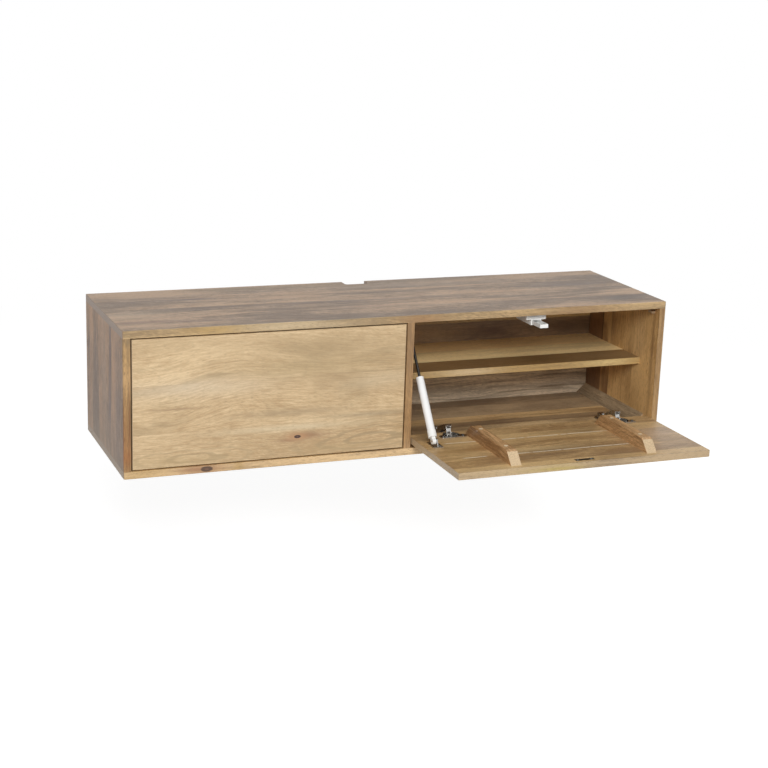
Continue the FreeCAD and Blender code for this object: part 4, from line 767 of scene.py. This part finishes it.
def dress_doors():
    """The timber of the doors and their battens: the left door is closed, the right one lies open."""
    low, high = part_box("left_door_panel")
    face = low.y
    dress("left_door_panel", timber(
        "left_door_timber", X, Z, HONEY, stave=0.0985, first=low.z - 0.028, seed=71.0, figure=0.9,
        streaks=0.8, hatch=0.6, joint=0.10, spread=0.15, end=(0.62, 0.46, 0.28), bends=[
            ((-0.46, face, -0.10), (0.16, 0.03, 0.055), -0.24),
            ((-0.20, face, -0.005), (0.20, 0.03, 0.04), 0.20),
        ], loops=[
            ((-0.085, face, -0.205), 0.16, 0.030, 0.75),
            ((-0.46, face, -0.216), 0.16, 0.024, 0.55),
        ], knots=[((-0.242, face, -0.1945), 0.0036)], patches=[
            ((-0.17, face, -0.010), (0.19, 0.02, 0.030), (0.44, 0.31, 0.165), 0.65),
            ((-0.22, face, -0.050), (0.16, 0.02, 0.022), (0.47, 0.34, 0.18), 0.65),
            ((-0.47, face, -0.078), (0.14, 0.02, 0.020), (0.72, 0.58, 0.40), 0.75),
            ((-0.50, face, 0.015), (0.10, 0.02, 0.020), (0.52, 0.37, 0.20), 0.6),
            ((-0.06, face, -0.088), (0.09, 0.02, 0.018), (0.64, 0.50, 0.32), 0.6),
            ((-0.15, face, -0.075), (0.05, 0.02, 0.012), (0.43, 0.295, 0.155), 0.6),
            ((-0.50, face, -0.118), (0.07, 0.02, 0.0025), (0.30, 0.18, 0.09), 0.75),
            ((-0.26, face, -0.142), (0.12, 0.02, 0.008), (0.42, 0.30, 0.17), 0.65),
            ((-0.09, face, -0.158), (0.10, 0.02, 0.006), (0.40, 0.30, 0.18), 0.6),
            ((-0.25, face, -0.174), (0.16, 0.02, 0.007), (0.70, 0.56, 0.36), 0.6),
            ((-0.222, face, -0.1930), (0.038, 0.02, 0.0070), (0.34, 0.20, 0.105), 0.8),
            ((-0.262, face, -0.2010), (0.022, 0.02, 0.0040), (0.34, 0.20, 0.105), 0.7),
            ((-0.50, face, -0.226), (0.12, 0.02, 0.012), (0.46, 0.32, 0.155), 0.55),
            ((-0.13, face, -0.225), (0.12, 0.02, 0.010), (0.48, 0.34, 0.17), 0.4),
        ]))
    low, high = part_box("right_door_panel")
    dress("right_door_panel", timber(
        "right_door_timber", X, Y, TAN, stave=0.095, first=low.y + 0.028, seed=83.0, figure=2.0, cloud=1.7,
        fleck=1.4, streaks=0.9, hatch=1.3, joint=0.2, end=(0.56, 0.42, 0.26), outer=(low.z, HONEY),
        filler=[(-0.4105, 0.145, 0.44), (-0.507, 0.145, 0.45), (-0.407, 0.062, 0.142), (-0.507, 0.06, 0.11)],
        boards=[(*front_edge(low.y), (0.45, 0.33, 0.20), 0.9)], patches=[
            ((0.22, low.y, -0.226), (0.07, 0.003, 0.008), (0.50, 0.38, 0.09), 0.75),
            ((0.35, low.y, -0.226), (0.05, 0.003, 0.008), (0.27, 0.19, 0.12), 0.5),
            ((0.12, -0.455, high.z), (0.05, 0.018, 0.01), (0.42, 0.215, 0.075), 0.8),
            ((0.30, -0.435, high.z), (0.09, 0.016, 0.01), (0.46, 0.26, 0.095), 0.7),
            ((0.22, -0.490, high.z), (0.12, 0.012, 0.01), (0.66, 0.49, 0.26), 0.65),
            ((0.24, -0.530, high.z), (0.10, 0.010, 0.01), (0.28, 0.17, 0.085), 0.65),
            ((0.40, -0.560, high.z), (0.09, 0.020, 0.01), (0.34, 0.21, 0.11), 0.5),
            ((0.08, -0.365, high.z), (0.06, 0.022, 0.01), (0.66, 0.50, 0.29), 0.6),
            ((0.09, -0.590, high.z), (0.07, 0.015, 0.01), (0.62, 0.45, 0.24), 0.6),
            ((0.53, -0.470, high.z), (0.07, 0.08, 0.01), (0.70, 0.50, 0.33), 0.65),
            ((0.05, -0.470, high.z), (0.05, 0.10, 0.01), (0.50, 0.32, 0.13), 0.45),
            ((0.36, -0.390, high.z), (0.12, 0.012, 0.01), (0.60, 0.42, 0.20), 0.5),
        ]))
    for side in ("left", "right"):
        along = Z if side == "left" else Y
        for name, seed in (("a", 91.0), ("b", 97.0)):
            dress(f"{side}_batten_{name}", timber(
                f"{side}_batten_{name}_timber", along, X, COCOA, seed=seed, figure=2.2, cloud=1.9,
                end=(0.72, 0.54, 0.33), **ONE_STAVE))
        dress(f"{side}_batten_plugs", timber(
            f"{side}_plug_timber", along, X, PLUG, seed=99.0, **ONE_STAVE))


def dress_hardware():
    """The finish of the fittings, and the detailed screws."""
    finishes = {
        "nickel": polished_metal("nickel", (0.50, 0.485, 0.46), 0.20),
        "dark_steel": polished_metal("dark_steel", (0.075, 0.070, 0.066), 0.30),
        "white_enamel": enamel("white_enamel", (0.86, 0.86, 0.85), 0.30, coat=0.4),
        "white_plastic": enamel("white_plastic", (0.86, 0.86, 0.84), 0.38),
    }
    bright = polished_metal("screw_steel", (0.60, 0.59, 0.56), 0.26)
    dull = polished_metal("dull_screw_steel", (0.17, 0.165, 0.155), 0.34)
    magnet = ferrite("magnet")
    for side in ("left", "right"):
        for slot, parts in FITTINGS.items():
            for part in parts:
                dress(f"{side}_{part}", finishes[slot])
                smooth_edges(frame["nodes"][f"{side}_{part}"])
        dress(f"{side}_latch_magnet", magnet)
        dress(f"{side}_batten_screws", bright)
        for part, steel in (("case_screws", bright), ("hinge_arm_screws", bright), ("door_screws", dull)):
            make_screws(f"{side}_{part}", steel)


# ---------------------------------------------------------------- studio
FLOOR_DROP = 0.45
FLOOR_HALF = 30.0
FLOOR_GREY = (0.80, 0.80, 0.80)
FLOOR_GLOW = 0.75
FLOOR_FADE = (1.2, 3.2)
AMBIENT = 0.27
KEY_LEVEL = 0.76
KEY_FROM = Vector((-0.20, -0.86, 0.469))
KEY_DISTANCE = 5.0
KEY_SIZE = (2.2, 1.5)
AIM = Vector((0.05, -0.2, -0.1))


def seen_rays(g):
    """1 for the rays that show the background itself, in the camera's view, in gloss and through glass."""
    rays = g.tree.nodes.new("ShaderNodeLightPath").outputs
    seen = g.math("MAXIMUM", rays["Is Camera Ray"], rays["Is Glossy Ray"])
    return g.math("MAXIMUM", seen, rays["Is Transmission Ray"])


class WorldGraph(Graph):
    """The nodes of a world."""

    def __init__(self, world):
        world.use_nodes = True
        self.tree = world.node_tree
        self.tree.nodes.clear()


def make_world():
    """A white background that lights the part at a lower level."""
    world = bpy.data.worlds.new("studio")
    bpy.context.scene.world = world
    g = WorldGraph(world)
    strength = g.ramp(seen_rays(g), 0.0, 1.0, AMBIENT, 1.0, smooth=False)
    light = g.add("ShaderNodeBackground", {"Color": WHITE, "Strength": strength})
    output = g.tree.nodes.new("ShaderNodeOutputWorld")
    g.tree.links.new(light, output.inputs["Surface"])


def make_floor():
    """A white floor that takes the part's shadow and fades into the background."""
    mesh = bpy.data.meshes.new("floor")
    level = case_low - FLOOR_DROP
    corners = [(x * FLOOR_HALF, y * FLOOR_HALF, level) for x, y in ((-1, -1), (1, -1), (1, 1), (-1, 1))]
    mesh.from_pydata(corners, [], [(0, 1, 2, 3)])
    floor = bpy.data.objects.new("floor", mesh)
    bpy.context.scene.collection.objects.link(floor)
    g = Graph("floor_white")
    matt = g.add("ShaderNodeBsdfDiffuse", {"Color": FLOOR_GREY})
    glow = g.add("ShaderNodeEmission", {"Color": WHITE, "Strength": FLOOR_GLOW})
    dark = g.add("ShaderNodeEmission", {"Strength": 0.0})
    far = g.add("ShaderNodeEmission", {"Color": WHITE, "Strength": 1.0})
    shown = seen_rays(g)
    own = g.add("ShaderNodeMixShader", {0: shown, 1: dark, 2: glow})
    near = g.add("ShaderNodeAddShader", {0: matt, 1: own})
    away = g.ramp(g.length(g.vector("MULTIPLY", g.place(), (1.0, 1.0, 0.0))), *FLOOR_FADE)
    g.finish(g.add("ShaderNodeMixShader", {0: g.times(away, shown), 1: near, 2: far}))
    mesh.materials.append(g.material)


def make_key():
    """One large lamp, in front of the console and above it."""
    lamp = bpy.data.lights.new("key", "AREA")
    lamp.shape = "RECTANGLE"
    lamp.size, lamp.size_y = KEY_SIZE
    lamp.energy = KEY_LEVEL * (math.pi * KEY_DISTANCE) ** 2
    key = bpy.data.objects.new("key", lamp)
    bpy.context.scene.collection.objects.link(key)
    towards = KEY_FROM.normalized()
    key.location = AIM + towards * KEY_DISTANCE
    key.rotation_euler = towards.to_track_quat("Z", "Y").to_euler()


# ---------------------------------------------------------------- camera
CAMERA_AT = Vector((-1.2707, -3.3863, 0.7927))
CAMERA_YAW = math.radians(21.8)
CAMERA_PITCH = math.radians(15.21)
CAMERA_ROLL = math.radians(-1.93)
SENSOR = 36.0
PICTURE_WIDTH = 768
FOCAL_PIXELS = 1645.8


def make_camera():
    """The camera that was fitted to the photo."""
    camera = bpy.data.objects.new("camera", bpy.data.cameras.new("camera"))
    bpy.context.scene.collection.objects.link(camera)
    bpy.context.scene.camera = camera
    camera.data.sensor_width = SENSOR
    camera.data.lens = FOCAL_PIXELS / PICTURE_WIDTH * SENSOR
    forward = Vector((math.sin(CAMERA_YAW) * math.cos(CAMERA_PITCH),
                      math.cos(CAMERA_YAW) * math.cos(CAMERA_PITCH), -math.sin(CAMERA_PITCH)))
    level = Vector((math.cos(CAMERA_YAW), -math.sin(CAMERA_YAW), 0))
    down = forward.cross(level)
    right = level * math.cos(CAMERA_ROLL) + down * math.sin(CAMERA_ROLL)
    below = down * math.cos(CAMERA_ROLL) - level * math.sin(CAMERA_ROLL)
    turn = Matrix((right, -below, -forward)).transposed()
    camera.matrix_world = Matrix.Translation(CAMERA_AT) @ turn.to_4x4()


bpy.context.scene.view_settings.view_transform = "Standard"
make_camera()
make_world()
make_floor()
make_key()
dress_case()
dress_doors()
dress_hardware()
